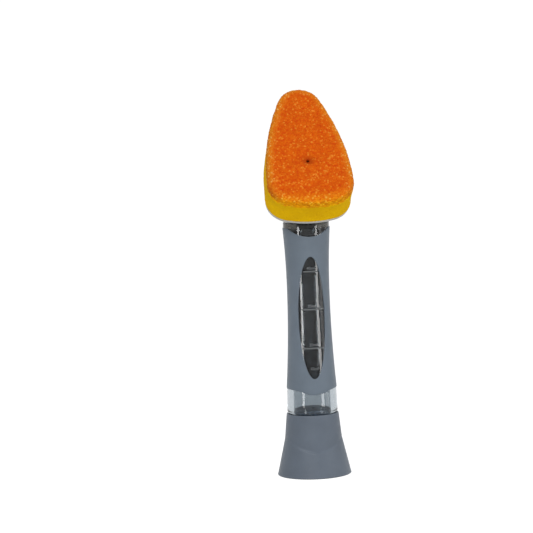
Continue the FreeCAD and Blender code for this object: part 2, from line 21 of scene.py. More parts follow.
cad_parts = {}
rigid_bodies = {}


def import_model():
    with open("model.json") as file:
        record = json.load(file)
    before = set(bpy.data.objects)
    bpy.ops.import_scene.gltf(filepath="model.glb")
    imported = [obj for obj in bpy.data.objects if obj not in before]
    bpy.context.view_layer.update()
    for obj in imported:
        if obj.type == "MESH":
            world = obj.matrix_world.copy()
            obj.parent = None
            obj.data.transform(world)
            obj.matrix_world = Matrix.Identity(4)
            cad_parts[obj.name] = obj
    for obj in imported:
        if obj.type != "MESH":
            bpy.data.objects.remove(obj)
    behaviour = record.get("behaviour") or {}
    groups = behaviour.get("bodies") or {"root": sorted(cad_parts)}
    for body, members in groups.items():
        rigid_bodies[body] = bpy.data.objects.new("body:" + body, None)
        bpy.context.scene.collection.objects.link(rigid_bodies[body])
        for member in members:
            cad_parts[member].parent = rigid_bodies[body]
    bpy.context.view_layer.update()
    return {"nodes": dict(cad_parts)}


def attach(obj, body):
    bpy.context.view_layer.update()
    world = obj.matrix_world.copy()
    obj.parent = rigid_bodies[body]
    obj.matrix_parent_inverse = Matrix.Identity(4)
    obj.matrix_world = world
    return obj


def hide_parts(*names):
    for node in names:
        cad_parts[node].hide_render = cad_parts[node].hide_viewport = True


MM = 0.001
SIDES = 96
WELD = 0.002 * MM
FLAT_DEGREES = 0.5
COPY_SHARP_DEGREES = 32.0
CREASE_DEGREES = 40.0
THREADED_CREASE_DEGREES = 38.0
NOISE_SPAN = (0.3, 0.7)
MIX_SHARE, MIX_BASE, MIX_OTHER, MIX_RESULT = 0, 6, 7, 2
WHITE = (1.0, 1.0, 1.0)
LOG = logging.getLogger("dish_wand")

Colour = tuple[float, float, float]
Profile = list[tuple[float, float]]
Piece = bpy.types.Object
Socket = bpy.types.NodeSocket
Inputs = dict[str | int, object]


class Body(Enum):
    """Bodies of the frame that new pieces ride on."""

    HANDLE = "handle"
    REFILL = "refill"
    CAP = "cap"


class Slot(Enum):
    """Material slots of the record, named with each new piece."""

    SCRUB = "scrub_foam"
    SPONGE = "sponge_foam"
    PALE = "pale_plastic"
    CLEAR = "clear_plastic"
    GREY = "grey_plastic"


class FoamMark(Enum):
    """Values that a foam's mesh carries for its finish, each from 0 to 1."""

    RELIEF = "relief"
    RIM = "rim"
    STAIN = "stain"
    BOND = "bond"


class Pick(Enum):
    """What a selection in edit mode is made of."""

    POINTS = "VERT"
    EDGES = "EDGE"
    FACES = "FACE"


Carved = tuple[Vector, dict[FoamMark, float]]


# Hand tools


def let_go() -> None:
    """Leave edit mode and deselect everything."""
    if bpy.context.mode != "OBJECT":
        bpy.ops.object.mode_set(mode="OBJECT")
    bpy.ops.object.select_all(action="DESELECT")


def take(*pieces: Piece) -> None:
    """Select pieces and nothing else.

    Args:
        pieces: The objects, of which the first becomes the active one.
    """
    let_go()
    for piece in pieces:
        piece.select_set(True)
    bpy.context.view_layer.objects.active = pieces[0]


def started(name: str, add: Callable, **settings: object) -> Piece:
    """Add a new object with nothing else selected.

    Args:
        name: The new object's name.
        add: The operator that adds it.
        settings: The operator's values by name.

    Returns:
        The new object.
    """
    let_go()
    add(**settings)
    piece = bpy.context.object
    piece.name = name
    return piece


@contextmanager
def editing(piece: Piece) -> Iterator[None]:
    """Open a piece in edit mode with all its points selected, and close it afterwards.

    Args:
        piece: The mesh object to edit.
    """
    take(piece)
    bpy.ops.object.mode_set(mode="EDIT")
    bpy.ops.mesh.select_mode(type="VERT")
    bpy.ops.mesh.select_all(action="SELECT")
    yield
    bpy.ops.object.mode_set(mode="OBJECT")


def pick(piece: Piece, kind: Pick, wanted: Callable) -> None:
    """Select parts of a piece that is open in edit mode.

    Args:
        piece: The mesh object in edit mode.
        kind: Whether points, edges or faces are selected.
        wanted: Says of each point, edge or face whether it is.
    """
    bpy.ops.mesh.select_mode(type=kind.value)
    bpy.ops.mesh.select_all(action="DESELECT")
    shape = bmesh.from_edit_mesh(piece.data)
    rows = {Pick.POINTS: shape.verts, Pick.EDGES: shape.edges, Pick.FACES: shape.faces}
    for item in rows[kind]:
        if wanted(item):
            item.select_set(True)
    bmesh.update_edit_mesh(piece.data)


def lay_picked(piece: Piece, lay: Callable[[Vector], Vector]) -> None:
    """Move each selected point of a piece that is open in edit mode.

    Args:
        piece: The mesh object in edit mode.
        lay: Gives a point's new place from its old one.
    """
    shape = bmesh.from_edit_mesh(piece.data)
    for point in shape.verts:
        if point.select:
            point.co = lay(point.co.copy())
    bmesh.update_edit_mesh(piece.data)


def finished_with(piece: Piece, kind: str, **settings: object) -> None:
    """Add a modifier to a piece and apply it.

    Args:
        piece: The mesh object.
        kind: The modifier's type.
        settings: The modifier's values by name.
    """
    take(piece)
    modifier = piece.modifiers.new(kind.title(), kind)
    for name, value in settings.items():
        setattr(modifier, name, value)
    bpy.ops.object.modifier_apply(modifier=modifier.name)


def welded(piece: Piece, gap: float = WELD) -> Piece:
    """Merge a piece's doubles and turn its faces outwards.

    Args:
        piece: The mesh object.
        gap: Points closer than this become one.

    Returns:
        The same piece.
    """
    with editing(piece):
        bpy.ops.mesh.remove_doubles(threshold=gap)
        bpy.ops.mesh.normals_make_consistent(inside=False)
    return piece


def joined(*pieces: Piece) -> Piece:
    """Join pieces into the first of them.

    Args:
        pieces: The mesh objects to join.

    Returns:
        The first piece, which now holds all the meshes.
    """
    take(*pieces)
    bpy.ops.object.join()
    return pieces[0]


def smoothed(piece: Piece, degrees: float = CREASE_DEGREES) -> Piece:
    """Shade a piece smooth, with its edges above an angle kept sharp.

    Args:
        piece: The mesh object.
        degrees: Edges that turn by more than this stay sharp.

    Returns:
        The same piece.
    """
    take(piece)
    bpy.ops.object.shade_smooth_by_angle(angle=math.radians(degrees))
    return piece


def softened(piece: Piece, width: float, degrees: float) -> Piece:
    """Round a piece's sharp edges and shade it smooth.

    Args:
        piece: The mesh object.
        width: Width of the soft edges.
        degrees: Edges that turn by more than this are rounded.

    Returns:
        The same piece.
    """
    sharp = math.radians(degrees)
    finished_with(piece, "BEVEL", width=width, segments=3, limit_method="ANGLE", angle_limit=sharp)
    return smoothed(piece)


def patch(name: str, across: int, up: int, lay: Callable[[float, float], Vector]) -> Piece:
    """Add a grid and lay it over a curved surface.

    Args:
        name: The new object's name.
        across: Number of faces along the grid's first direction.
        up: Number of faces along the second.
        lay: Gives a place on the surface for a share from 0 to 1 in each direction.

    Returns:
        The new mesh object.
    """
    grid = bpy.ops.mesh.primitive_grid_add
    piece = started(name, grid, x_subdivisions=across, y_subdivisions=up, size=1.0)
    with editing(piece):
        lay_picked(piece, lambda spot: lay(spot.x + 0.5, spot.y + 0.5))
    return piece


def turned(name: str, profile: Profile) -> Piece:
    """Turn a profile about the handle's axis, ring by ring, and fill both ends.

    Args:
        name: The new object's name.
        profile: Radius and height of each ring.

    Returns:
        The new mesh object.
    """
    radius, height = profile[0]
    piece = started(name, bpy.ops.mesh.primitive_circle_add, vertices=SIDES, radius=radius)
    with editing(piece):
        bpy.ops.transform.translate(value=(0, 0, height))
        bpy.ops.mesh.edge_face_add()
        for next_radius, next_height in profile[1:]:
            rise = (0, 0, next_height - height)
            bpy.ops.mesh.extrude_edges_move(TRANSFORM_OT_translate={"value": rise})
            scale = next_radius / radius
            bpy.ops.transform.resize(value=(scale, scale, 1), center_override=(0, 0, next_height))
            radius, height = next_radius, next_height
        bpy.ops.mesh.edge_face_add()
    return piece


def copied_from(node: Piece, name: str, edge_round: float) -> Piece:
    """Copy a node of the frame, merge its triangles and soften its edges.

    Args:
        node: The frame's object, which stays as it is.
        name: The new object's name.
        edge_round: Width of the soft edges.

    Returns:
        The new mesh object.
    """
    piece = bpy.data.objects.new(name, node.data.copy())
    bpy.context.scene.collection.objects.link(piece)
    take(piece)
    bpy.ops.mesh.customdata_custom_splitnormals_clear()
    with editing(piece):
        bpy.ops.mesh.remove_doubles(threshold=WELD)
        bpy.ops.mesh.dissolve_limited(angle_limit=math.radians(FLAT_DEGREES))
    return softened(piece, edge_round, COPY_SHARP_DEGREES)


def arc(middle: tuple[float, float], radius: float, start: float, end: float, steps: int = 5) -> Profile:
    """Points of a profile along a round, between two angles in degrees from straight outwards."""
    turns = [math.radians(start + (end - start) * step / steps) for step in range(steps + 1)]
    return [(middle[0] + radius * math.cos(turn), middle[1] + radius * math.sin(turn)) for turn in turns]


def eased(share: float) -> float:
    """A share from 0 to 1 with a soft start and end."""
    share = min(max(share, 0.0), 1.0)
    return share * share * (3 - 2 * share)


def round_handle(radius: float, turn: float, height: float) -> Vector:
    """Place at an angle from the front, towards +X, about the handle's axis."""
    return Vector((radius * math.sin(turn), -radius * math.cos(turn), height))


def bearing(spot: Vector) -> float:
    """Angle of a place from the front, towards +X, about the handle's axis."""
    return math.atan2(spot.x, -spot.y)


# Finishes


class NodeBench:
    """Adds and joins the nodes of one material, or of the room's light."""

    def __init__(self, owner: bpy.types.Material | bpy.types.World) -> None:
        """Open the owner's nodes."""
        owner.use_nodes = True
        self.owner, self.tree = owner, owner.node_tree

    @cached_property
    def coords(self) -> Socket:
        """The piece's own coordinates."""
        return self.add("ShaderNodeTexCoord").outputs["Object"]

    def feed(self, node: bpy.types.Node, links: Inputs, values: Inputs) -> None:
        """Set a node's inputs.

        Args:
            node: The node.
            links: Sockets that feed its inputs, by input.
            values: Plain values, by input.
        """
        for name, value in values.items():
            node.inputs[name].default_value = value
        for name, source in links.items():
            self.tree.links.new(source, node.inputs[name])

    def add(
        self, kind: str, links: Inputs | None = None, values: Inputs | None = None, **settings: object
    ) -> bpy.types.Node:
        """Add one node.

        Args:
            kind: The node's type.
            links: Sockets that feed the node's inputs, by input.
            values: Plain values of its inputs, by input.
            settings: Other values of the node by name.

        Returns:
            The new node.
        """
        made = self.tree.nodes.new(kind)
        for name, value in settings.items():
            setattr(made, name, value)
        self.feed(made, links or {}, values or {})
        return made

    def noise(self, size: float, detail: float) -> Socket:
        """Soft noise with blotches of one size and some octaves of finer noise."""
        values = {"Scale": 1 / size, "Detail": detail}
        return self.add("ShaderNodeTexNoise", {"Vector": self.coords}, values).outputs["Fac"]

    def cells(self, size: float) -> Socket:
        """Distance to the middle of the nearest cell of one size."""
        values = {"Scale": 1 / size}
        return self.add("ShaderNodeTexVoronoi", {"Vector": self.coords}, values).outputs["Distance"]

    def spread(self, source: Socket, low: float, high: float) -> Socket:
        """Map soft noise onto a range."""
        values = {"From Min": NOISE_SPAN[0], "From Max": NOISE_SPAN[1], "To Min": low, "To Max": high}
        return self.add("ShaderNodeMapRange", {"Value": source}, values).outputs["Result"]

    def ramp(self, source: Socket, places: Sequence[float], colours: Sequence[Colour]) -> Socket:
        """Colours along a share.

        Args:
            source: The socket that gives the share.
            places: Place of each stop.
            colours: Colour of each stop.

        Returns:
            The colour socket.
        """
        made = self.add("ShaderNodeValToRGB", {"Fac": source})
        stops = made.color_ramp.elements
        while len(stops) < len(places):
            stops.new(0.5)
        for stop, place, colour in zip(stops, places, colours):
            stop.position = place
            stop.color = (*colour, 1.0)
        return made.outputs["Color"]

    def blended(self, mode: str, base: Socket, other: Socket, share: Socket | None = None) -> Socket:
        """Blend a colour over another.

        Args:
            mode: How they are blended.
            base: The colour below.
            other: The colour that is laid over it.
            share: How much of the other is taken, all of it without this.

        Returns:
            The colour socket.
        """
        links = {MIX_BASE: base, MIX_OTHER: other} | ({} if share is None else {MIX_SHARE: share})
        made = self.add("ShaderNodeMix", links, {MIX_SHARE: 1.0}, data_type="RGBA", blend_type=mode)
        return made.outputs[MIX_RESULT]

    def bump(self, height: Socket, depth: float, under: Socket | None = None) -> Socket:
        """Relief that the shader alone shows, over other relief if that is given."""
        links = {"Height": height} if under is None else {"Height": height, "Normal": under}
        return self.add("ShaderNodeBump", links, {"Distance": depth, "Strength": 1.0}).outputs["Normal"]

    def shaded(self, links: Inputs, values: Inputs) -> bpy.types.Material:
        """Set the shader's sockets and give back the finished material."""
        self.feed(self.tree.nodes["Principled BSDF"], links, values)
        return self.owner


def scaled(colour: Colour, factor: float) -> Colour:
    """A colour made lighter or darker."""
    return tuple(part * factor for part in colour)


@dataclass(frozen=True)
class MouldedFinish:
    """Opaque moulded plastic or rubber with a fine spark-eroded grain."""

    name: str
    colour: Colour
    roughness: tuple[float, float]
    grain: float = 0.35 * MM
    grain_depth: float = 0.012 * MM
    flow: float = 9.0 * MM
    flow_depth: float = 0.02 * MM
    gloss_patch: float = 3.0 * MM
    drift: float = 0.06
    drift_patch: float = 14.0 * MM
    specular: float = 0.5

    def material(self) -> bpy.types.Material:
        """Build the material: slow colour drift, uneven gloss and grain.

        Returns:
            The material.
        """
        bench = NodeBench(bpy.data.materials.new(self.name))
        tones = [scaled(self.colour, 1 - self.drift), scaled(self.colour, 1 + self.drift)]
        flow = bench.bump(bench.noise(self.flow, detail=1.0), self.flow_depth)
        links = {
            "Base Color": bench.ramp(bench.noise(self.drift_patch, detail=3.0), NOISE_SPAN, tones),
            "Roughness": bench.spread(bench.noise(self.gloss_patch, detail=4.0), *self.roughness),
            "Normal": bench.bump(bench.noise(self.grain, detail=2.0), self.grain_depth, flow),
        }
        return bench.shaded(links, {"Specular IOR Level": self.specular})


@dataclass(frozen=True)
class ClearFinish:
    """Clear polished plastic with faint flow lines."""

    name: str
    tint: Colour
    roughness: float
    clear: float = 1.0
    ior: float = 1.33
    ripple: float = 4.0 * MM
    ripple_depth: float = 0.0012 * MM

    def material(self) -> bpy.types.Material:
        """Build the material: a clear body, its gloss and a faint ripple.

        Returns:
            The material.
        """
        bench = NodeBench(bpy.data.materials.new(self.name))
        normal = bench.bump(bench.noise(self.ripple, detail=1.0), self.ripple_depth)
        values = {
            "Base Color": (*self.tint, 1.0),
            "Roughness": self.roughness,
            "IOR": self.ior,
            "Transmission Weight": self.clear,
        }
        return bench.shaded({"Normal": normal}, values)


@dataclass(frozen=True)
class FoamFinish:
    """Cut foam with painted shade in its hollows and painted highlights on its tips, other shades at rim and
    bond, and painted shade at the soap hole.
    """

    name: str
    shades: tuple[Colour, Colour, Colour]
    rim_shades: tuple[Colour, Colour, Colour]
    bond_and_bounce_shades: tuple[Colour, Colour, Colour]
    stain: Colour
    pore: float
    sheen: float
    pore_depth: float = 0.05 * MM
    fine_pore: float = 0.6
    drift: Colour = (0.93, 0.89, 0.88)
    drift_patch: float = 9.0 * MM
    halo: float = 0.38
    halo_place: float = 0.45
    roughness: float = 0.9
    specular: float = 0.12
    sheen_roughness: float = 0.5

    def material(self) -> bpy.types.Material:
        """Build the material: shades by the marks stored on the mesh, painted light and shade among them,
        drift and pores.

        Returns:
            The material.
        """
        bench = NodeBench(bpy.data.materials.new(self.name))
        relief, rim, stain, bond = (
            bench.add("ShaderNodeAttribute", attribute_name=mark.value).outputs["Fac"] for mark in FoamMark
        )
        # Each ramp runs from painted shade in the hollows to painted highlights on the tips.
        inner, outer, low = (
            bench.ramp(relief, (0.0, 0.5, 1.0), shades)
            for shades in (self.shades, self.rim_shades, self.bond_and_bounce_shades)
        )
        colour = bench.blended("MIX", bench.blended("MIX", inner, outer, rim), low, bond)
        drift = bench.ramp(bench.noise(self.drift_patch, detail=3.0), NOISE_SPAN, (self.drift, WHITE))
        # Painted shade in the dimple and soap hole, through a paler halo to the darkest middle.
        halo = tuple(1 - self.halo + self.halo * part for part in self.stain)
        spot = bench.ramp(stain, (0.0, self.halo_place, 1.0), (WHITE, halo, self.stain))
        for layer in (drift, spot):
            colour = bench.blended("MULTIPLY", colour, layer)
        pores = bench.bump(bench.cells(self.pore), self.pore_depth)
        fine = bench.noise(self.pore * self.fine_pore, detail=3.0)
        values = {
            "Roughness": self.roughness,
            "Specular IOR Level": self.specular,
            "Sheen Weight": self.sheen,
            "Sheen Roughness": self.sheen_roughness,
            "Sheen Tint": (*self.shades[2], 1.0),
        }
        normal = bench.bump(fine, self.pore_depth, pores)
        return bench.shaded({"Base Color": colour, "Normal": normal}, values)


Finish = MouldedFinish | ClearFinish | FoamFinish
# Sponge yellows: the low end is painted shade in the pores.
YELLOWS = ((0.9, 0.5, 0.0), (0.98, 0.58, 0.0), (1.0, 0.63, 0.0))

GREY_PLASTIC = MouldedFinish("grey_plastic_satin", (0.152, 0.188, 0.23), (0.38, 0.52), specular=0.28)
CAP_PLASTIC = MouldedFinish("grey_plastic_cap", (0.125, 0.151, 0.188), (0.4, 0.54), specular=0.28)
PALE_PLASTIC = MouldedFinish("pale_plastic_satin", (0.62, 0.61, 0.57), (0.4, 0.55), drift=0.03)
RUBBER = MouldedFinish("seal_rubber_matte", (0.03, 0.03, 0.035), (0.55, 0.75), grain=0.2 * MM, specular=0.35)
CLEAR_PLASTIC = ClearFinish("clear_plastic_polished", (0.4, 0.44, 0.47), 0.015)
# The neck's near-black tint is partly its smoky plastic and partly painted shade for its unlit inside.
NECK_PLASTIC = ClearFinish("clear_plastic_smoky_painted_shade", (0.06, 0.058, 0.05), 0.03)
RIB_PLASTIC = ClearFinish("clear_plastic_ribs", (0.15, 0.163, 0.172), 0.4, clear=0.15)
NUMERAL_PLASTIC = ClearFinish("clear_plastic_numerals", (0.2, 0.22, 0.235), 0.4, clear=0.15)
SCRUB_FOAM = FoamFinish(
    "scrub_foam_cells",
    # Shades run from painted shade in the gaps to painted highlights on the bead tips.
    shades=((0.54, 0.055, 0.0), (0.63, 0.112, 0.001), (0.72, 0.22, 0.02)),
    # Rim shades: yellower orange near the outline; their pale cream top is a painted rim highlight.
    rim_shades=((0.62, 0.14, 0.003), (0.7, 0.25, 0.012), (0.74, 0.46, 0.14)),
    # Bond shades: yellow of the ragged bond, also painted bounce light from the sponge on the tail.
    bond_and_bounce_shades=((0.92, 0.32, 0.0), (1.0, 0.44, 0.0), (1.0, 0.56, 0.02)),
    # Painted shade in the soap hole's dimple.
    stain=(0.6, 0.42, 0.5),
    pore=0.5 * MM,
    sheen=0.1,
)
SPONGE_FOAM = FoamFinish(
    "sponge_foam_fine",
    shades=YELLOWS,
    rim_shades=((0.8, 0.24, 0.0), (0.9, 0.34, 0.0), (0.95, 0.44, 0.01)),
    bond_and_bounce_shades=YELLOWS,
    stain=(0.3, 0.2, 0.2),
    pore=0.45 * MM,
    sheen=0.0,
)


@cache
def material_of(finish: Finish) -> bpy.types.Material:
    """A finish's material, made on first use."""
    return finish.material()


def handed_in(piece: Piece, finish: Finish, body: Body, slot: Slot, *nodes: str) -> None:
    """Dress a finished piece and tie it to the frame.

    Args:
        piece: The mesh object.
        finish: Its finish.
        body: The body it moves with.
        slot: The record's material slot; not used.
        nodes: Nodes of the frame that it stands for.
    """
    piece.data.name = piece.name
    piece.data.materials.clear()
    piece.data.materials.append(material_of(finish))
    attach(piece, body.value)
    if nodes:
        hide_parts(*nodes)
    LOG.info("%s: %d faces, on %s", piece.name, len(piece.data.polygons), body.value)


# Handle


@dataclass(frozen=True)
class HandleLine:
    """Outline of the handle: the straight clear band and the long waist above it."""

    shoulder: float = 42.3 * MM
    shoulder_radius: float = 17.5 * MM
    base: float = 59.2 * MM
    base_radius: float = 17.0 * MM
    waist: float = 126.0 * MM
    waist_radius: float = 14.35 * MM
    top: float = 168.2 * MM
    top_radius: float = 16.0 * MM

    def radius(self, height: float) -> float:
        """Radius of the handle at a height.

        Args:
            height: Height above the table.

        Returns:
            The radius.
        """
        if height < self.base:
            share = (self.base - height) / (self.base - self.shoulder)
            return self.base_radius + share * (self.shoulder_radius - self.base_radius)
        below = height < self.waist
        end, end_radius = (self.base, self.base_radius) if below else (self.top, self.top_radius)
        swell = end_radius - self.waist_radius
        curve = ((end - self.waist) ** 2 + swell**2) / (2 * swell)
        return self.waist_radius + curve - math.sqrt(curve**2 - (height - self.waist) ** 2)

    def point(self, turn: float, height: float, inset: float) -> Vector:
        """Place at an angle and a height, this far inside the outline."""
        return round_handle(self.radius(height) - inset, turn, height)

    def turn_at(self, across: float, height: float) -> float:
        """Angle from the front at which the outline is this far across."""
        return math.asin(min(across / self.radius(height), 1.0))


@dataclass(frozen=True)
class SleeveEdges:
    """Window, scooped top edge and tongued lower edge of the sleeve, as seen from the front."""

    window_middle: float = 108.0 * MM
    window_half_width: float = 9.2 * MM
    window_half_height: float = 41.2 * MM
    top: float = 168.2 * MM
    scoop_low: float = 162.8 * MM
    scoop_radius: float = 21.0 * MM
    base: float = 59.2 * MM
    tongue_drop: float = 3.2 * MM
    tongue_radius: float = 21.0 * MM

    def window(self, turn: float, grown: float) -> tuple[float, float]:
        """How far across and how high the window's outline is, at an angle from its top end."""
        across = (self.window_half_width + grown) * math.sin(turn)
        return across, self.window_middle + (self.window_half_height + grown) * math.cos(turn)

    def scoop(self, across: float) -> float:
        """Height of the top edge."""
        dip = self.scoop_radius - math.sqrt(max(self.scoop_radius**2 - across**2, 0.0))
        return min(self.scoop_low + dip, self.top)

    def tongue(self, across: float) -> float:
        """Height of the lower edge, two rounds that meet halfway.

        Args:
            across: How far to the side.

        Returns:
            The height.
        """
        across = abs(across)
        half = math.sqrt(self.tongue_radius * self.tongue_drop - self.tongue_drop**2 / 4)
        if across < half:
            rise = self.tongue_radius - math.sqrt(self.tongue_radius**2 - across**2)
            return self.base - self.tongue_drop + rise
        rest = max(2 * half - across, 0.0)
        return self.base - self.tongue_radius + math.sqrt(self.tongue_radius**2 - rest**2)


@dataclass
class HandleWall:
    """Even quads over the handle's outline that run round the window."""

    line: HandleLine
    edges: SleeveEdges
    inset: float
    window_grown: float = 0.0
    border: float = 1.4 * MM
    border_rows: int = 2
    columns: int = 48
    rows: int = 64
    brow_rows: int = 12
    hem_rows: int = 6
    pane_columns: int = 8
    edge_tries: int = 4

    def on_window(self, up: float, grown: float, share: float = 1.0) -> Vector:
        """Place on the wall along the window's outline, or a share of the way out to it."""
        across, height = self.edges.window(math.pi * up, grown)
        return self.line.point(self.line.turn_at(across * share, height), height, self.inset)

    def beside_window(self, share: float, up: float) -> Vector:
        """Place on the wall between the window's border and the back.

        Args:
            share: How far round to the back.
            up: How far along the window, from its top end.

        Returns:
            The place.
        """
        across, height = self.edges.window(math.pi * up, self.border)
        start = self.line.turn_at(across, height)
        return self.line.point(start + (math.pi - start) * share, height, self.inset)

    def to_edge(self, share: float, up: float, top: bool) -> Vector:
        """Place on the wall between the window's end and the top or lower edge.

        Args:
            share: How far round to the back.
            up: How far from the window to the edge.
            top: Whether the top edge is meant.

        Returns:
            The place.
        """
        turn = math.pi * share
        edge, end = (self.edges.scoop, self.edges.top) if top else (self.edges.tongue, self.edges.base)
        for _ in range(self.edge_tries):
            end = edge(self.line.radius(end) * math.sin(turn))
        start = self.edges.window(0.0 if top else math.pi, self.border)[1]
        return self.line.point(turn, start + (end - start) * up, self.inset)

    def built(self, name: str, with_pane: bool) -> Piece:
        """Lay the patches of the right half, weld them and mirror them.

        Args:
            name: The new object's name.
            with_pane: Whether the window is filled.

        Returns:
            The new mesh object.
        """
        grown, span = self.window_grown, self.border - self.window_grown
        patches = [
            patch(name, self.rows, self.border_rows, lambda u, v: self.on_window(u, grown + span * v)),
            patch("flank", self.columns, self.rows, self.beside_window),
            patch("brow", self.columns, self.brow_rows, lambda u, v: self.to_edge(u, v, True)),
            patch("hem", self.columns, self.hem_rows, lambda u, v: self.to_edge(u, v, False)),
        ]
        if with_pane:
            pane = patch("pane", self.pane_columns, self.rows, lambda u, v: self.on_window(v, grown, u))
            patches.append(pane)
        wall = welded(joined(*patches))
        finished_with(wall, "MIRROR", use_mirror_merge=True, merge_threshold=WELD)
        return welded(wall)


@dataclass
class GripSleeve:
    """Grey skin of the handle, with its window, scoop and tongue."""

    line: HandleLine
    edges: SleeveEdges
    wall: float = 1.8 * MM
    edge_round: float = 0.45 * MM
    sharp_degrees: float = 50.0

    def build(self) -> None:
        """Lay the skin, give it its wall and soften its edges."""
        skin = HandleWall(self.line, self.edges, 0.0).built("grip_skin", with_pane=False)
        finished_with(skin, "SOLIDIFY", thickness=self.wall, offset=-1.0, use_even_offset=True)
        softened(skin, self.edge_round, self.sharp_degrees)
        handed_in(skin, GREY_PLASTIC, Body.HANDLE, Slot.GREY, "grip_sleeve")


@dataclass
class ScrewThread:
    """Two-start thread with ends that run out."""

    root: float
    crest: float
    low: float
    high: float
    lead: float = 8.0 * MM
    starts: int = 2
    sunk: float = 0.4 * MM
    foot: float = 0.85 * MM
    land: float = 0.35 * MM
    run_out: float = 0.08
    steps: int = 72

    def ridge(self, number: int) -> Piece:
        """Wind one start as a closed ridge.

        Args:
            number: Which start it is.

        Returns:
            The new mesh object.
        """
        buried = self.root - math.copysign(self.sunk, self.crest - self.root)
        corners = [(buried, -self.foot), (self.crest, -self.land), (self.crest, self.land)]
        corners += [(buried, self.foot), corners[0]]
        sides = len(corners) - 1
        climb = self.high - self.low - 2 * self.foot

        def wind(across: float, along: float) -> Vector:
            """Give a place on the ridge.

            Args:
                across: Share of the way round its section.
                along: Share of the way along its turns.

            Returns:
                The place.
            """
            radius, rise = corners[round(across * sides)]
            radius = buried + (radius - buried) * eased(min(along, 1 - along) / self.run_out)
            turn = 2 * math.pi * (climb * along / self.lead + number / self.starts)
            height = self.low + self.foot + climb * along + rise
            return Vector((radius * math.cos(turn), radius * math.sin(turn), height))

        return welded(patch(f"thread_{number}", sides, self.steps, wind))

    def joined_to(self, piece: Piece) -> None:
        """Wind all the starts, join them to a piece and shade it."""
        ridges = [self.ridge(number) for number in range(self.starts)]
        smoothed(joined(piece, *ridges), THREADED_CREASE_DEGREES)


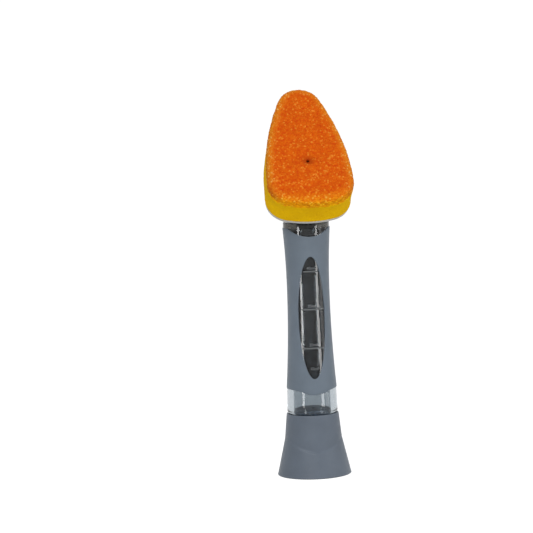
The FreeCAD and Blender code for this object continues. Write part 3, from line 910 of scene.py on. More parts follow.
@dataclass
class Reservoir:
    """Clear tank: a wall under the sleeve, the window's raised pane, the band, the spigot and the bore."""

    line: HandleLine
    edges: SleeveEdges
    sink: float = 0.3 * MM
    under_sleeve: float = 1.9 * MM
    pane_gap: float = 0.12 * MM
    pane_round: float = 0.35 * MM
    pane_slack: float = 0.01 * MM
    rim_reach: float = 1.0 * MM
    band_rings: int = 3
    top: float = 168.12 * MM
    spigot_radius: float = 15.0 * MM
    spigot_end: float = 30.0 * MM
    spigot_chamfer: float = 0.5 * MM
    shoulder_round: float = 1.6 * MM
    shoulder_step: float = 0.3 * MM
    mouth_radius: float = 12.8 * MM
    mouth_flare: float = 0.4 * MM
    mouth_depth: float = 0.5 * MM
    mouth_ease: float = 0.02 * MM
    bore_top_radius: float = 10.8 * MM
    bore_rings: int = 10
    thread_crest: float = 15.55 * MM
    thread_below: float = 0.6 * MM
    thread_above: float = 1.2 * MM
    scoop_margin: float = 0.15 * MM

    def bore(self, height: float) -> float:
        """Radius of the tapered bore at a height."""
        share = (height - self.spigot_end) / (self.line.top - self.spigot_end)
        return self.mouth_radius + share * (self.bore_top_radius - self.mouth_radius)

    def in_pane(self, spot: Vector) -> bool:
        """Whether a place lies within the pane's outline.

        Args:
            spot: The place.

        Returns:
            True if it does.
        """
        grown = self.pane_slack - self.pane_gap
        across = spot.x / (self.edges.window_half_width + grown)
        up = (spot.z - self.edges.window_middle) / (self.edges.window_half_height + grown)
        return spot.y < 0 and across**2 + up**2 < 1

    def raise_pane(self, tank: Piece) -> None:
        """Extrude the pane into the window and round its rim.

        Args:
            tank: The mesh object in edit mode.
        """
        pick(tank, Pick.FACES, lambda face: self.in_pane(face.calc_center_median()))
        bpy.ops.mesh.extrude_region_move()
        lay_picked(tank, lambda spot: self.line.point(bearing(spot), spot.z, self.sink))
        bpy.ops.mesh.region_to_loop()
        bpy.ops.mesh.bevel(offset=self.pane_round, segments=3, affect="EDGES", clamp_overlap=True)

    def ring(self, tank: Piece, lay: Callable[[float, float], Vector]) -> None:
        """Extrude the selected rim once, to places by the angle and the old height."""
        bpy.ops.mesh.extrude_edges_move()
        lay_picked(tank, lambda spot: lay(bearing(spot), spot.z))

    def draw_band(self, tank: Piece) -> None:
        """Extrude the lower rim to the band, the spigot and up the bore.

        Args:
            tank: The mesh object in edit mode.
        """
        line, end, spigot = self.line, self.spigot_end, self.spigot_radius
        below = self.edges.base + self.rim_reach
        pick(tank, Pick.EDGES, lambda edge: edge.is_boundary and edge.verts[0].co.z < below)
        self.ring(tank, lambda turn, height: line.point(turn, height, self.sink))
        foot = line.shoulder + self.shoulder_round
        for left in range(self.band_rings, 0, -1):
            self.ring(tank, lambda turn, old: line.point(turn, old + (foot - old) / left, self.sink))
        middle = (line.radius(foot) - self.sink - self.shoulder_round, foot)
        steps = range(1, self.bore_rings + 1)
        heights = [end + (self.top - end) * step / self.bore_rings for step in steps]
        profile = [
            *arc(middle, self.shoulder_round, start=-15, end=-90),
            (spigot + self.shoulder_step, line.shoulder),
            (spigot, line.shoulder - self.shoulder_step),
            (spigot, end + self.spigot_chamfer),
            (spigot - self.spigot_chamfer, end),
            (self.mouth_radius + self.mouth_flare, end),
            (self.bore(end) + self.mouth_ease, end + self.mouth_depth),
            *((self.bore(height), height) for height in heights),
        ]
        for radius, level in profile:
            self.ring(tank, lambda turn, _: round_handle(radius, turn, level))

    def close_top(self, tank: Piece) -> None:
        """Fill the scoop, and bridge the top rim to the bore.

        Args:
            tank: The mesh object in edit mode.
        """
        ceiling, above = self.top - self.scoop_margin, self.edges.scoop_low - self.rim_reach
        outside = (self.spigot_radius + self.bore_top_radius) / 2

        def on_rim(edge: bmesh.types.BMEdge) -> bool:
            """Whether an edge lies on the wall's top rim."""
            spot = edge.verts[0].co
            return edge.is_boundary and spot.z > above and spot.xy.length > outside

        def inset(height: float) -> float:
            """How far inside the outline the wall is, in the scoop or under the sleeve."""
            return self.sink if height < ceiling else self.under_sleeve

        pick(tank, Pick.EDGES, on_rim)
        self.ring(tank, lambda turn, height: self.line.point(turn, min(height, self.top), inset(height)))
        self.ring(tank, lambda turn, height: self.line.point(turn, self.top, inset(height)))
        pick(tank, Pick.EDGES, lambda edge: edge.is_boundary)
        bpy.ops.mesh.bridge_edge_loops()

    def build(self) -> Piece:
        """Lay the wall, shape it as one closed clear body and add the spigot's thread.

        Returns:
            The tank.
        """
        wall = HandleWall(self.line, self.edges, self.under_sleeve, -self.pane_gap)
        tank = wall.built("tank_shell", with_pane=True)
        with editing(tank):
            self.raise_pane(tank)
            self.draw_band(tank)
            self.close_top(tank)
        low, high = self.spigot_end + self.thread_below, self.line.shoulder - self.thread_above
        ScrewThread(self.spigot_radius, self.thread_crest, low, high).joined_to(welded(tank))
        handed_in(tank, CLEAR_PLASTIC, Body.HANDLE, Slot.CLEAR, "reservoir")
        return tank


@dataclass
class LevelScale:
    """Raised level ribs and their numerals on the window's pane."""

    line: HandleLine
    edges: SleeveEdges
    sink: float = 0.3 * MM
    proud: float = 0.28 * MM
    rib_height: float = 0.95 * MM
    rib_margin: float = 0.9 * MM
    rib_round: float = 0.12 * MM
    rib_cuts: int = 7
    rib_count: int = 3
    text_size: float = 2.9 * MM
    text_rise: float = 1.3 * MM
    text_weld: float = 0.005 * MM
    levels: tuple[tuple[str, float], ...] = (
        ("40ml", 139.3 * MM),
        ("30ml", 113.7 * MM),
        ("20ml", 87.5 * MM),
        ("10ml", 71.5 * MM),
    )

    def wrapped(self, mark: Piece, height: float) -> Piece:
        """Lay a flat mark on the pane.

        Args:
            mark: A mesh drawn in the XY plane, standing up along Z.
            height: Height of its origin on the handle.

        Returns:
            The same mark.
        """

        def lay(spot: Vector) -> Vector:
            """Place on the pane."""
            turn = math.copysign(self.line.turn_at(abs(spot.x), height + spot.y), spot.x)
            return self.line.point(turn, height + spot.y, self.sink - spot.z)

        with editing(mark):
            lay_picked(mark, lay)
        return mark

    def rib(self, height: float) -> Piece:
        """Make a rib across the pane.

        Args:
            height: Height on the handle.

        Returns:
            The new mesh object.
        """
        share = (height - self.edges.window_middle) / self.edges.window_half_height
        half = self.edges.window_half_width * math.sqrt(1 - share**2) - self.rib_margin
        bar = started("rib", bpy.ops.mesh.primitive_cube_add, size=1.0)
        with editing(bar):
            bpy.ops.transform.resize(value=(2 * half, self.rib_height, 2 * self.proud))
            bpy.ops.mesh.bevel(offset=self.rib_round, segments=2, affect="EDGES")
            bpy.ops.mesh.select_all(action="SELECT")
            bpy.ops.mesh.subdivide(number_cuts=self.rib_cuts)
        return self.wrapped(bar, height)

    def numeral(self, words: str, height: float) -> Piece:
        """Make a numeral above a level.

        Args:
            words: The numeral with its unit.
            height: The level's height on the handle.

        Returns:
            The new mesh object.
        """
        text = started("numeral", bpy.ops.object.text_add).data
        text.body, text.size, text.extrude, text.align_x = words, self.text_size, self.proud, "CENTER"
        bpy.ops.object.convert(target="MESH")
        return self.wrapped(welded(bpy.context.object, self.text_weld), height + self.text_rise)

    def build(self) -> None:
        """Make each level's rib and numeral, and join the ribs and the numerals."""
        ribs = [self.rib(height) for _, height in self.levels[: self.rib_count]]
        numerals = [self.numeral(words, height) for words, height in self.levels]
        groups = ((ribs, "level_ribs", RIB_PLASTIC), (numerals, "level_numerals", NUMERAL_PLASTIC))
        for marks, name, finish in groups:
            mark = smoothed(joined(*marks))
            mark.name = name
            handed_in(mark, finish, Body.HANDLE, Slot.CLEAR)


# Foot


@dataclass
class EndCap:
    """Screw-off cap: flared foot with a soft arched crease, column, threaded socket and plug."""

    height: float = 42.0 * MM
    top_radius: float = 17.6 * MM
    edge_round: float = 0.55 * MM
    taper: float = 0.1
    flare_height: float = 25.0 * MM
    flare_radius: float = 19.3 * MM
    foot_radius: float = 25.0 * MM
    rim_round: float = 0.9 * MM
    rim_clear: float = 1.5
    crease_low: float = 17.2 * MM
    crease_radius: float = 25.5 * MM
    crease_softness: float = 0.9 * MM
    crease_tries: int = 3
    skirt: float = 1.8 * MM
    skirt_edge: float = 0.2 * MM
    ceiling: float = 27.5 * MM
    ceiling_round: float = 1.0 * MM
    socket_radius: float = 16.2 * MM
    socket_floor: float = 29.7 * MM
    socket_edge: float = 0.3 * MM
    thread_crest: float = 15.66 * MM
    thread_below: float = 2.6 * MM
    thread_above: float = 1.0 * MM
    plug_radius: float = 12.2 * MM
    plug_top: float = 45.0 * MM
    plug_round: float = 0.4 * MM
    groove_low: float = 35.0 * MM
    groove_high: float = 37.0 * MM
    groove_radius: float = 10.7 * MM
    hollow_radius: float = 9.1 * MM
    hollow_top: float = 43.4 * MM
    hollow_edge: float = 0.5 * MM
    hollow_round: float = 0.6 * MM
    pip_radius: float = 1.3 * MM
    pip_crown: float = 1.04 * MM
    pip_rise: float = 0.5 * MM
    pip_edge: float = 0.2 * MM
    ring_step: float = 0.4 * MM

    def column(self, height: float) -> float:
        """Radius of the column at a height."""
        return self.top_radius + (self.height - height) * self.taper

    def flare(self, height: float) -> float:
        """Radius of the flared foot at a height."""
        return self.foot_radius - height * (self.foot_radius - self.flare_radius) / self.flare_height

    def outside(self, across: float, height: float) -> float:
        """Radius of the outside, where the foot steps in to the column along an arched crease.

        Args:
            across: How far to the side.
            height: Height above the table.

        Returns:
            The radius.
        """
        column = self.column(height)
        arch = self.crease_low + self.crease_radius
        arch -= math.sqrt(max(self.crease_radius**2 - across**2, 0.0))
        share = eased((arch - height) / self.crease_softness + 0.5)
        return column + share * max(self.flare(height) - column, 0.0)

    def corner(self, radius: float, top: float, rounding: float, end: float, steps: int) -> Profile:
        """A rounded upper corner, from straight up to an angle in degrees from straight outwards."""
        return arc((radius - rounding, top - rounding), rounding, start=90, end=end, steps=steps)

    def profile(self) -> Profile:
        """List the rings from the plug's pip, through the socket and down the outside, to the hollow.

        Returns:
            Radius and height of each ring.
        """
        rim, start = self.rim_round, self.height - self.edge_round - self.ring_step
        count = math.ceil((start - rim) / self.ring_step)
        heights = [start - (start - rim) * step / count for step in range(count + 1)]
        pip_top, socket, hollow = self.plug_top + self.pip_rise, self.socket_radius, self.hollow_radius
        inside, roof = self.foot_radius - self.skirt, self.column(self.ceiling) - self.skirt
        return [
            (self.pip_crown, pip_top),
            (self.pip_radius, pip_top - self.pip_edge),
            (self.pip_radius, self.plug_top),
            *self.corner(self.plug_radius, self.plug_top, self.plug_round, end=0, steps=4),
            (self.plug_radius, self.groove_high),
            (self.groove_radius, self.groove_high),
            (self.groove_radius, self.groove_low),
            (self.plug_radius, self.groove_low),
            (self.plug_radius, self.socket_floor),
            (socket, self.socket_floor),
            (socket, self.height - self.socket_edge),
            (socket + self.socket_edge, self.height),
            *self.corner(self.top_radius, self.height, self.edge_round, end=5, steps=5),
            *((self.outside(0.0, height), height) for height in heights),
            *arc((self.foot_radius - rim, rim), rim, start=-15, end=-90),
            (inside + self.skirt_edge, 0.0),
            (inside, self.skirt_edge),
            (self.column(self.crease_low) - self.skirt, self.crease_low),
            (roof, self.ceiling - self.ceiling_round),
            (roof - self.ceiling_round, self.ceiling),
            (hollow + self.hollow_edge, self.ceiling),
            (hollow, self.ceiling + self.hollow_edge),
            (hollow, self.hollow_top - self.hollow_round),
            (hollow - self.hollow_round, self.hollow_top),
        ]

    def arch_crease(self, cap: Piece) -> None:
        """Let the foot's step follow its arch round the cap.

        Args:
            cap: The mesh object in edit mode.
        """
        low, high = self.rim_clear * self.rim_round, self.height - self.rim_clear * self.edge_round

        def on_outside(point: bmesh.types.BMVert) -> bool:
            """Whether a point lies on the outside, clear of both rims."""
            height = point.co.z
            return low < height < high and point.co.xy.length > self.column(height) - self.skirt_edge

        def lay(spot: Vector) -> Vector:
            """Give the place on the outside at a point's angle and height.

            Args:
                spot: The point's old place.

            Returns:
                The new place.
            """
            turn, radius = bearing(spot), self.column(spot.z)
            for _ in range(self.crease_tries):
                radius = self.outside(radius * math.sin(turn), spot.z)
            return round_handle(radius, turn, spot.z)

        pick(cap, Pick.POINTS, on_outside)
        lay_picked(cap, lay)

    def build(self) -> None:
        """Turn the cap, arch its crease and add its thread."""
        cap = turned("cap_shell", self.profile())
        with editing(cap):
            self.arch_crease(cap)
        low, high = self.socket_floor + self.thread_below, self.height - self.thread_above
        ScrewThread(self.socket_radius, self.thread_crest, low, high).joined_to(welded(cap))
        handed_in(cap, CAP_PLASTIC, Body.CAP, Slot.GREY, "end_cap")


# Head


@dataclass
class NeckFittings:
    """Clear neck with its cradle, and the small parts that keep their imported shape."""

    edge_round: float = 0.35 * MM

    def build(self, nodes: dict[str, Piece]) -> Piece:
        """Soften the neck's edges and dress the seals, the valve and its ring.

        Args:
            nodes: The frame's nodes by name.

        Returns:
            The neck.
        """
        neck = copied_from(nodes["neck"], "neck_shell", self.edge_round)
        handed_in(neck, NECK_PLASTIC, Body.HANDLE, Slot.CLEAR, "neck")
        for name in ("neck_seal", "cap_seal", "outlet_valve"):
            self.dress(nodes[name], RUBBER)
        self.dress(nodes["valve_retainer"], PALE_PLASTIC)
        return neck

    def dress(self, node: Piece, finish: MouldedFinish) -> None:
        """Give a node of the frame its finish.

        Args:
            node: The frame's object.
            finish: Its finish.
        """
        for place in node.material_slots:
            place.material = material_of(finish)
        LOG.info("%s: kept from the frame", node.name)


@dataclass(frozen=True)
class PadOutline:
    """Outline of the refill: a round nose, bowed flanks, round corners and a flat-arched tail."""

    length: float = 94.2 * MM
    width: float = 58.2 * MM
    tail: float = 34.6 * MM
    nose_radius: float = 15.2 * MM
    corner_radius: float = 16.6 * MM
    flank_radius: float = 163.0 * MM
    tail_radius: float = 68.0 * MM
    round_steps: int = 60
    least_step: float = 1e-6 * MM

    def rounds(self) -> list[tuple[Vector, float, float, float]]:
        """List the rounds of the right half, from the tail to the nose.

        Returns:
            Middle, radius and both angles of each round.
        """
        across = self.width / 2 - self.corner_radius
        tail = Vector((0, self.tail_radius - self.tail))
        drop = math.sqrt((self.tail_radius - self.corner_radius) ** 2 - across**2)
        corner = Vector((across, tail.y - drop))
        nose = Vector((0, self.length - self.tail - self.nose_radius))
        way, reach = (nose - corner).normalized(), (nose - corner).length
        from_corner = self.flank_radius - self.corner_radius
        from_nose = self.flank_radius - self.nose_radius
        along = (from_corner**2 - from_nose**2 + reach**2) / (2 * reach)
        aside = math.sqrt(from_corner**2 - along**2)
        flank = corner + way * along + Vector((-way.y, way.x)) * aside
        ways = [corner - tail, corner - flank, nose - flank]
        turns = [-math.pi / 2, *(math.atan2(way.y, way.x) for way in ways), math.pi / 2]
        radii = [self.tail_radius, self.corner_radius, self.flank_radius, self.nose_radius]
        return list(zip([tail, corner, flank, nose], radii, turns, turns[1:]))

    def half(self) -> list[Vector]:
        """Trace the right half, from the middle of the tail to the tip of the nose.

        Returns:
            The points.
        """
        points = []
        for middle, radius, start, end in self.rounds():
            for step in range(self.round_steps + 1):
                turn = start + (end - start) * step / self.round_steps
                points.append(middle + radius * Vector((math.cos(turn), math.sin(turn))))
        return points

    def points(self, count: int) -> list[Vector]:
        """Space points evenly along the whole outline.

        Args:
            count: How many points.

        Returns:
            The points, from the middle of the tail towards +X and round.
        """
        right = self.half()
        trace = right + [Vector((-spot.x, spot.y)) for spot in reversed(right)]
        lengths = [0.0]
        for before, after in zip(trace, trace[1:]):
            lengths.append(lengths[-1] + (after - before).length)
        spots, place = [], 0
        for number in range(count):
            want = lengths[-1] * number / count
            while lengths[place + 1] < want:
                place += 1
            share = (want - lengths[place]) / max(lengths[place + 1] - lengths[place], self.least_step)
            spots.append(trace[place].lerp(trace[place + 1], share))
        return spots


@dataclass(kw_only=True)
class FoamPad:
    """One layer of cut foam on the refill's outline, built lying flat and then tilted into place."""

    name: str
    node: str
    slot: Slot
    finish: FoamFinish
    back: float
    thickness: float
    hole_radius: float
    voxel: float
    round_front: float = 0.0
    round_back: float = 0.0
    level_slack: float = 0.01 * MM
    hole_sides: int = 48
    drill_reach: float = 4.0
    outline: PadOutline = PadOutline()
    outline_points: int = 180

    @property
    def front(self) -> float:
        """Height of the layer's front, lying flat."""
        return self.back + self.thickness

    def carve(self, place: Vector, normal: Vector) -> Carved:
        """Give a point's new place and its marks, in the way of the foam."""
        raise NotImplementedError

    def blank(self) -> Piece:
        """Cut the layer: outline, thickness, rounded edges and soap hole.

        Returns:
            The new mesh object, lying flat.
        """
        count = self.outline_points
        circle = bpy.ops.mesh.primitive_circle_add
        pad = started(self.name, circle, vertices=count, radius=1.0, fill_type="NGON")
        for point, spot in zip(pad.data.vertices, self.outline.points(count)):
            point.co = (spot.x, spot.y, self.back)
        with editing(pad):
            bpy.ops.mesh.normals_make_consistent(inside=False)
            bpy.ops.mesh.extrude_region_move(TRANSFORM_OT_translate={"value": (0, 0, self.thickness)})
            bpy.ops.mesh.select_all(action="SELECT")
            bpy.ops.mesh.normals_make_consistent(inside=False)
        for level, reach in ((self.front, self.round_front), (self.back, self.round_back)):
            if reach > 0:
                self.round_rim(pad, level, reach)
        cylinder, depth = bpy.ops.mesh.primitive_cylinder_add, self.drill_reach * self.thickness
        drill = started("drill", cylinder, vertices=self.hole_sides, radius=self.hole_radius, depth=depth)
        with editing(drill):
            bpy.ops.transform.translate(value=(0, 0, self.back))
        finished_with(pad, "BOOLEAN", operation="DIFFERENCE", object=drill, solver="EXACT")
        bpy.data.objects.remove(drill)
        return pad

    def round_rim(self, pad: Piece, level: float, reach: float) -> None:
        """Round the rim at one level.

        Args:
            pad: The mesh object.
            level: Height of the rim.
            reach: The round's radius.
        """

        def on_rim(edge: bmesh.types.BMEdge) -> bool:
            """Whether an edge lies at the level."""
            return all(abs(point.co.z - level) < self.level_slack for point in edge.verts)

        with editing(pad):
            pick(pad, Pick.EDGES, on_rim)
            bpy.ops.mesh.bevel(offset=reach, segments=6, affect="EDGES", clamp_overlap=False)

    def roughen(self, pad: Piece) -> None:
        """Remesh the layer finely, carve its surface and store what its finish needs.

        Args:
            pad: The mesh object.
        """
        finished_with(pad, "REMESH", mode="VOXEL", voxel_size=self.voxel, use_smooth_shade=True)
        finished_with(pad, "SMOOTH", factor=0.5, iterations=2)
        mesh = pad.data
        old = [(point.co.copy(), point.normal.copy()) for point in mesh.vertices]
        stores = {mark: mesh.attributes.new(mark.value, "FLOAT", "POINT").data for mark in FoamMark}
        for number, (place, normal) in enumerate(old):
            mesh.vertices[number].co, marks = self.carve(place, normal)
            for mark, value in marks.items():
                stores[mark][number].value = min(max(value, 0.0), 1.0)

    def build(self, seat: Matrix) -> Piece:
        """Cut and carve the layer, and tilt it into its place on the head.

        Args:
            seat: The head's place.

        Returns:
            The finished piece.
        """
        pad = self.blank()
        self.roughen(pad)
        take(pad)
        pad.matrix_world = seat
        bpy.ops.object.transform_apply(location=True, rotation=True, scale=True)
        bpy.ops.object.shade_smooth()
        handed_in(pad, self.finish, Body.REFILL, self.slot, self.node)
        return pad


@dataclass(kw_only=True)
class ScrubPad(FoamPad):
    """Coarse orange foam whose cut cells stand up as beads, dished round the soap hole."""

    name: str = "scrub_layer"
    node: str = "scrub_pad"
    slot: Slot = Slot.SCRUB
    finish: FoamFinish = SCRUB_FOAM
    thickness: float = 7.0 * MM
    hole_radius: float = 0.85 * MM
    voxel: float = 0.32 * MM
    round_front: float = 3.5 * MM
    bead: float = 1.15 * MM
    bead_height: float = 0.5 * MM
    bead_luck: float = 7.3
    bead_usual: float = 0.82
    bead_spread: float = 0.45
    dome_reach: float = 0.75
    gap_width: float = 0.22
    gap_floor: float = 0.45
    sunk: float = 0.4 * MM
    wave: float = 6.0 * MM
    wave_height: float = 0.25 * MM
    edge_reach: float = 1.2 * MM
    edge_lift: float = 0.35
    face_depth: float = 3.0 * MM
    dimple_radius: float = 5.5 * MM
    dimple_depth: float = 2.2 * MM
    dimple_calm: float = 0.1
    dimple_lift: float = 0.25
    painted_shade_reach: float = 6.0 * MM
    shade_base: float = 0.25
    painted_light_by_height: float = 0.25
    shade_luck: float = 0.5
    shade_mottle: float = 0.2
    mottle: float = 2.6 * MM
    painted_glint_share: float = 0.25
    painted_glint_luck: float = 0.3
    painted_glint_span: float = 0.15
    rim_reach: float = 7.0 * MM
    rim_tail: float = 0.4
    rim_rest: float = 0.55
    tail_start: float = 30.0 * MM
    tail_span: float = 20.0 * MM
    bond: float = 1.5 * MM
    bond_fade: float = 1.3
    bond_usual: float = 0.8
    bond_spread: float = 1.2
    bond_least: float = 0.2
    glow_start: float = 23.0 * MM
    glow_reach: float = 10.0 * MM
    glow_top: float = 1.15
    glow_face: float = 0.12
    glow_wall: float = 0.95
    glow_spread: float = 0.6

    @cached_property
    def rim_points(self) -> KDTree:
        """Sort the outline's points, to look up the nearest one.

        Returns:
            The sorted points.
        """
        tree = KDTree(self.outline_points)
        for number, spot in enumerate(self.outline.points(self.outline_points)):
            tree.insert((spot.x, spot.y, 0), number)
        tree.balance()
        return tree

    def rim_share(self, place: Vector) -> float:
        """How near a place is to the outline, from 0 on the face to 1 at the rim, less at the tail."""
        # This share turns the face yellower near the outline and paints a pale rim highlight on its bead
        # tips.
        share = eased(1 - self.rim_points.find((place.x, place.y, 0))[2] / self.rim_reach)
        return share * (self.rim_tail + self.rim_rest * eased((place.y + self.tail_start) / self.tail_span))

    def bond_share(self, place: Vector, luck: float) -> float:
        """How yellow a place is: ragged beside the sponge, and painted light bounced from the sponge, more
        and more towards the tail and low on its wall.

        Args:
            place: A point of the layer, lying flat.
            luck: Chance value of the point's bead.

        Returns:
            The share.
        """
        above = place.z - self.back
        ragged = self.bond * max(self.bond_usual + self.bond_spread * luck, self.bond_least)
        # Painted bounce light from the sponge, which also lightens the shaded downward wall of the tail.
        tail = eased((-place.y - self.glow_start) / self.glow_reach)
        down = eased(self.glow_top - above / self.thickness)
        glow = tail * (self.glow_face + self.glow_wall * down) * (1 + self.glow_spread * luck)
        return max(eased(self.bond_fade - above / ragged), glow)

    def carve(self, place: Vector, normal: Vector) -> Carved:
        """Raise a bead over each cell, and sink the dimple.

        Args:
            place: A point of the layer, lying flat.
            normal: Its normal.

        Returns:
            The point's new place, and its marks.
        """
        (near, next_near, *_), middles = noise.voronoi(place / self.bead)
        luck = noise.noise(middles[0] * self.bead_luck)
        dome = math.sqrt(max(1 - (near / self.dome_reach) ** 2, 0.0))
        gap = self.gap_floor + (1 - self.gap_floor) * eased((next_near - near) / self.gap_width)
        height = dome * gap * (self.bead_usual + self.bead_spread * luck)
        reach = place.xy.length / self.dimple_radius
        calm = eased(reach - self.dimple_calm)
        lift = self.bead_height * height * (self.dimple_lift + (1 - self.dimple_lift) * calm) - self.sunk
        lift += self.wave_height * noise.noise(place / self.wave)
        edge = eased((place.z - self.back) / self.edge_reach)
        spot = place + normal * lift * (self.edge_lift + (1 - self.edge_lift) * edge)
        on_face = place.z > self.front - self.face_depth
        if on_face:
            spot.z -= self.dimple_depth * max(1 - reach**2, 0.0) ** 2
        # Painted highlight on tall bead tips and painted shade in the gaps, random tone per cell and mottle,
        # and painted glints on a few cells.
        shade = self.shade_base + self.painted_light_by_height * height + self.shade_luck * luck * calm
        shade += self.shade_mottle * noise.noise(place / self.mottle)
        shade += self.painted_glint_share * eased((luck - self.painted_glint_luck) / self.painted_glint_span)
        # Painted shade in the dimple round the soap hole, deepest at the middle; on the hidden back it is
        # full within its reach.
        inside = float(place.xy.length <= self.painted_shade_reach)
        return spot, {
            FoamMark.RELIEF: shade,
            FoamMark.RIM: self.rim_share(place),
            FoamMark.STAIN: eased(1 - reach) if on_face else inside,
            FoamMark.BOND: self.bond_share(place, luck),
        }


@dataclass(kw_only=True)
class SpongePad(FoamPad):
    """Fine yellow foam with small pores, slightly hollow flanks and a ragged bond to the scrub pad."""

    name: str = "sponge_layer"
    node: str = "sponge_pad"
    slot: Slot = Slot.SPONGE
    finish: FoamFinish = SPONGE_FOAM
    thickness: float = 17.5 * MM
    hole_radius: float = 3.8 * MM
    voxel: float = 0.5 * MM
    round_back: float = 1.5 * MM
    pore: float = 2.1 * MM
    pore_depth: float = 0.4 * MM
    pore_luck: float = 5.1
    pore_reach: float = 0.42
    pore_start: float = 0.15
    pore_span: float = 0.4
    wave: float = 9.0 * MM
    wave_height: float = 0.3 * MM
    grain: float = 0.8 * MM
    grain_height: float = 0.12 * MM
    hollow: float = 0.35 * MM
    flat_level: float = 0.5
    flat_lift: float = 0.3
    shade_base: float = 0.52
    shade_grain: float = 0.3
    painted_pore_shade: float = 0.5
    bond: float = 1.2 * MM
    bond_cell: float = 1.5 * MM
    bond_luck: float = 6.1
    bond_usual: float = 0.55
    bond_spread: float = 1.1
    bond_fade: float = 0.5 * MM

    def bond_share(self, place: Vector) -> float:
        """How much of the scrub pad's colour has crept over the bond at a place.

        Args:
            place: A point of the layer, lying flat.

        Returns:
            The share.
        """
        middle = noise.voronoi(place / self.bond_cell)[1][0]
        reach = self.bond * (self.bond_usual + self.bond_spread * noise.noise(middle * self.bond_luck))
        return eased((reach - (self.front - place.z)) / self.bond_fade)

    def carve(self, place: Vector, normal: Vector) -> Carved:
        """Sink some cells as pores and let the surface wander.

        Args:
            place: A point of the layer, lying flat.
            normal: Its normal.

        Returns:
            The point's new place, and its marks.
        """
        distances, middles = noise.voronoi(place / self.pore)
        luck = noise.noise(middles[0] * self.pore_luck)
        pit = eased(1 - distances[0] / self.pore_reach) * eased((luck + self.pore_start) / self.pore_span)
        fine = noise.noise(place / self.grain)
        half = self.thickness / 2
        away = abs(place.z - self.back - half) / half
        upright = 1 - abs(normal.z)
        lift = self.grain_height * fine + self.wave_height * noise.noise(place / self.wave) * upright
        lift -= self.pore_depth * pit + self.hollow * (1 - away**2) * upright
        if upright < self.flat_level:
            lift *= self.flat_lift
        # Random fine tone, with painted shade in the sunk pores.
        shade = self.shade_base + self.shade_grain * fine - self.painted_pore_shade * pit
        return place + normal * lift, {FoamMark.RELIEF: shade, FoamMark.RIM: self.bond_share(place)}


@dataclass
class Refill:
    """Backing plate, sponge and scrub pad, tilted on the head."""

    head_height: float = 198.2 * MM
    tilt: float = 40.0
    plate_front: float = 2.3 * MM
    plate_round: float = 0.3 * MM

    def seat(self) -> Matrix:
        """Place of the head: its face leans back from upright."""
        lean = Matrix.Rotation(math.radians(90 - self.tilt), 4, "X")
        return Matrix.Translation((0, 0, self.head_height)) @ lean

    def build(self, nodes: dict[str, Piece]) -> list[Piece]:
        """Make the plate and the two layers of foam.

        Args:
            nodes: The frame's nodes by name.

        Returns:
            The three pieces.
        """
        plate = copied_from(nodes["backing_plate"], "refill_plate", self.plate_round)
        handed_in(plate, PALE_PLASTIC, Body.REFILL, Slot.PALE, "backing_plate")
        sponge = SpongePad(back=self.plate_front)
        scrub = ScrubPad(back=sponge.front)
        return [plate, sponge.build(self.seat()), scrub.build(self.seat())]


# Studio


@dataclass(frozen=True)
class Softbox:
    """One rectangular lamp that looks at a place."""

    name: str
    place: tuple[float, float, float]
    target: tuple[float, float, float]
    size: tuple[float, float]
    watts: float

    def build(self, lights: bpy.types.Collection | None = None) -> None:
        """Add the lamp and turn it to its target.

        Args:
            lights: The only pieces that it lights, or None for all.
        """
        lamp = started(self.name, bpy.ops.object.light_add, type="AREA", location=self.place)
        lamp.data.shape = "RECTANGLE"
        lamp.data.size, lamp.data.size_y = self.size
        lamp.data.energy = self.watts
        way = Vector(self.target) - Vector(self.place)
        lamp.rotation_euler = way.to_track_quat("-Z", "Y").to_euler()
        lamp.visible_camera = False
        if lights is not None:
            lamp.light_linking.receiver_collection = lights


STRIP_DISTANCE = 420.0 * MM
STRIP_HEIGHT = 52.0 * MM
STRIP_TARGET = (0, 0, 60.0 * MM)


def strip(name: str, degrees: float, size: tuple[float, float], watts: float) -> Softbox:
    """A small lamp near the table, at an angle from the front."""
    place = round_handle(STRIP_DISTANCE, math.radians(degrees), STRIP_HEIGHT)
    return Softbox(name, tuple(place), STRIP_TARGET, size, watts)


ROOM_LAMPS = [
    Softbox("key_softbox", place=(-0.5, -1.5, 1.2), target=(0, 0, 0.13), size=(0.9, 0.9), watts=18.0),
    Softbox("fill_softbox", place=(1.3, -0.9, 0.7), target=(0, 0, 0.13), size=(0.7, 1.0), watts=6.0),
]
REFILL_LAMPS = [
    Softbox("low_softbox", place=(0.1, -1.5, 0.16), target=(0, 0, 0.2), size=(1.0, 0.3), watts=4.0),
]
CLEAR_LAMPS = [
    strip("left_strip", degrees=-48.0, size=(0.08, 0.1), watts=0.4),
    strip("right_strip", degrees=41.6, size=(0.1, 0.12), watts=0.46),
    strip("right_glow", degrees=65.0, size=(0.12, 0.12), watts=0.11),
]


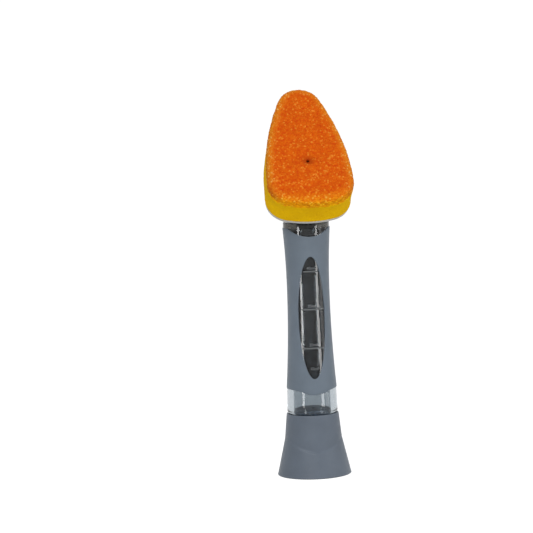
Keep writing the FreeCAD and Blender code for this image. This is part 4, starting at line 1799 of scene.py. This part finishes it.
@dataclass
class Studio:
    """Pale floor, soft light and the camera at the photograph's angle."""

    azimuth: float = -8.5
    elevation: float = 10.0
    roll: float = 2.0
    distance: float = 2.2
    lens: float = 218.5
    sensor: float = 36.0
    view_end: float = 120.0
    frame: float = 533.0
    metres_per_pixel: float = 0.68 * MM
    foot_pixel: tuple[float, float] = (314.7, 473.3)
    sky: float = 0.42
    floor_size: float = 80.0
    floor_drop: float = 0.1 * MM
    floor_grey: float = 0.55
    floor_glow: float = 0.8

    def add_camera(self) -> None:
        """Place the camera so that the foot's middle lands on its pixel."""
        turn, rise, roll = (math.radians(part) for part in (self.azimuth, self.elevation, self.roll))
        back = round_handle(math.cos(rise), turn, math.sin(rise))
        level = Vector((math.cos(turn), math.sin(turn), 0))
        upright = back.cross(level)
        right = level * math.cos(roll) - upright * math.sin(roll)
        up = level * math.sin(roll) + upright * math.cos(roll)
        middle = self.frame / 2
        target = right * (middle - self.foot_pixel[0]) + up * (self.foot_pixel[1] - middle)
        eye = back * self.distance
        axis = (eye - target * self.metres_per_pixel).normalized()
        side = up.cross(axis).normalized()
        turned_to = Matrix((side, axis.cross(side), axis)).transposed().to_4x4()
        camera = started("Camera", bpy.ops.object.camera_add)
        camera.matrix_world = Matrix.Translation(eye) @ turned_to
        camera.data.lens = self.lens
        camera.data.sensor_width = self.sensor
        camera.data.clip_end = self.view_end
        bpy.context.scene.camera = camera

    def seen(self, bench: NodeBench) -> Socket:
        """Whether a ray shows the background: straight to the camera, in gloss or through clear plastic.

        Args:
            bench: The nodes that ask.

        Returns:
            The socket that gives 0 or 1.
        """
        path = bench.add("ShaderNodeLightPath").outputs
        answer = path["Is Camera Ray"]
        for name in ("Is Glossy Ray", "Is Transmission Ray"):
            either = bench.add("ShaderNodeMath", {0: answer, 1: path[name]}, operation="MAXIMUM")
            answer = either.outputs[0]
        return answer

    def add_floor(self) -> None:
        """Lay a wide floor of pale paper, topped up to white where it is seen, that keeps the shadow."""
        floor = started("floor", bpy.ops.mesh.primitive_plane_add, size=self.floor_size)
        with editing(floor):
            bpy.ops.transform.translate(value=(0, 0, -self.floor_drop))
        bench = NodeBench(bpy.data.materials.new("floor_paper"))
        seen = {0: self.seen(bench)}
        glow = bench.add("ShaderNodeMath", seen, {1: self.floor_glow}, operation="MULTIPLY")
        values = {
            "Base Color": (*scaled(WHITE, self.floor_grey), 1.0),
            "Roughness": 1.0,
            "Specular IOR Level": 0.0,
            "Emission Color": (*WHITE, 1.0),
        }
        floor.data.materials.append(bench.shaded({"Emission Strength": glow.outputs[0]}, values))

    def add_sky(self) -> None:
        """Light the room evenly, and show white beyond the floor."""
        world = bpy.data.worlds.new("studio_room")
        bpy.context.scene.world = world
        bench = NodeBench(world)
        values = {"To Min": self.sky, "To Max": 1.0}
        strength = bench.add("ShaderNodeMapRange", {"Value": self.seen(bench)}, values).outputs["Result"]
        bench.feed(bench.tree.nodes["Background"], {"Strength": strength}, {"Color": (*WHITE, 1.0)})

    def build(self) -> None:
        """Set up the camera, the floor, the room and the lamps that light everything."""
        bpy.context.scene.view_settings.view_transform = "Standard"
        self.add_camera()
        self.add_floor()
        self.add_sky()
        for lamp in ROOM_LAMPS:
            lamp.build()

    def light_alone(self, name: str, pieces: list[Piece], lamps: list[Softbox]) -> None:
        """Add lamps that light some pieces alone.

        Args:
            name: Name of the group of pieces.
            pieces: The pieces.
            lamps: The lamps.
        """
        group = bpy.data.collections.new(name)
        for piece in pieces:
            group.objects.link(piece)
        for lamp in lamps:
            lamp.build(group)


def main() -> None:
    """Build the wand round its frame."""
    logging.basicConfig(level=logging.INFO, format="%(name)s: %(message)s")
    for spare in list(bpy.data.objects):
        bpy.data.objects.remove(spare)
    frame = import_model()
    line, edges = HandleLine(), SleeveEdges()
    studio = Studio()
    studio.build()
    GripSleeve(line, edges).build()
    tank = Reservoir(line, edges).build()
    LevelScale(line, edges).build()
    EndCap().build()
    neck = NeckFittings().build(frame["nodes"])
    studio.light_alone("refill_pieces", Refill().build(frame["nodes"]), REFILL_LAMPS)
    studio.light_alone("clear_pieces", [tank, neck], CLEAR_LAMPS)
    let_go()


if __name__ == "__main__":
    main()
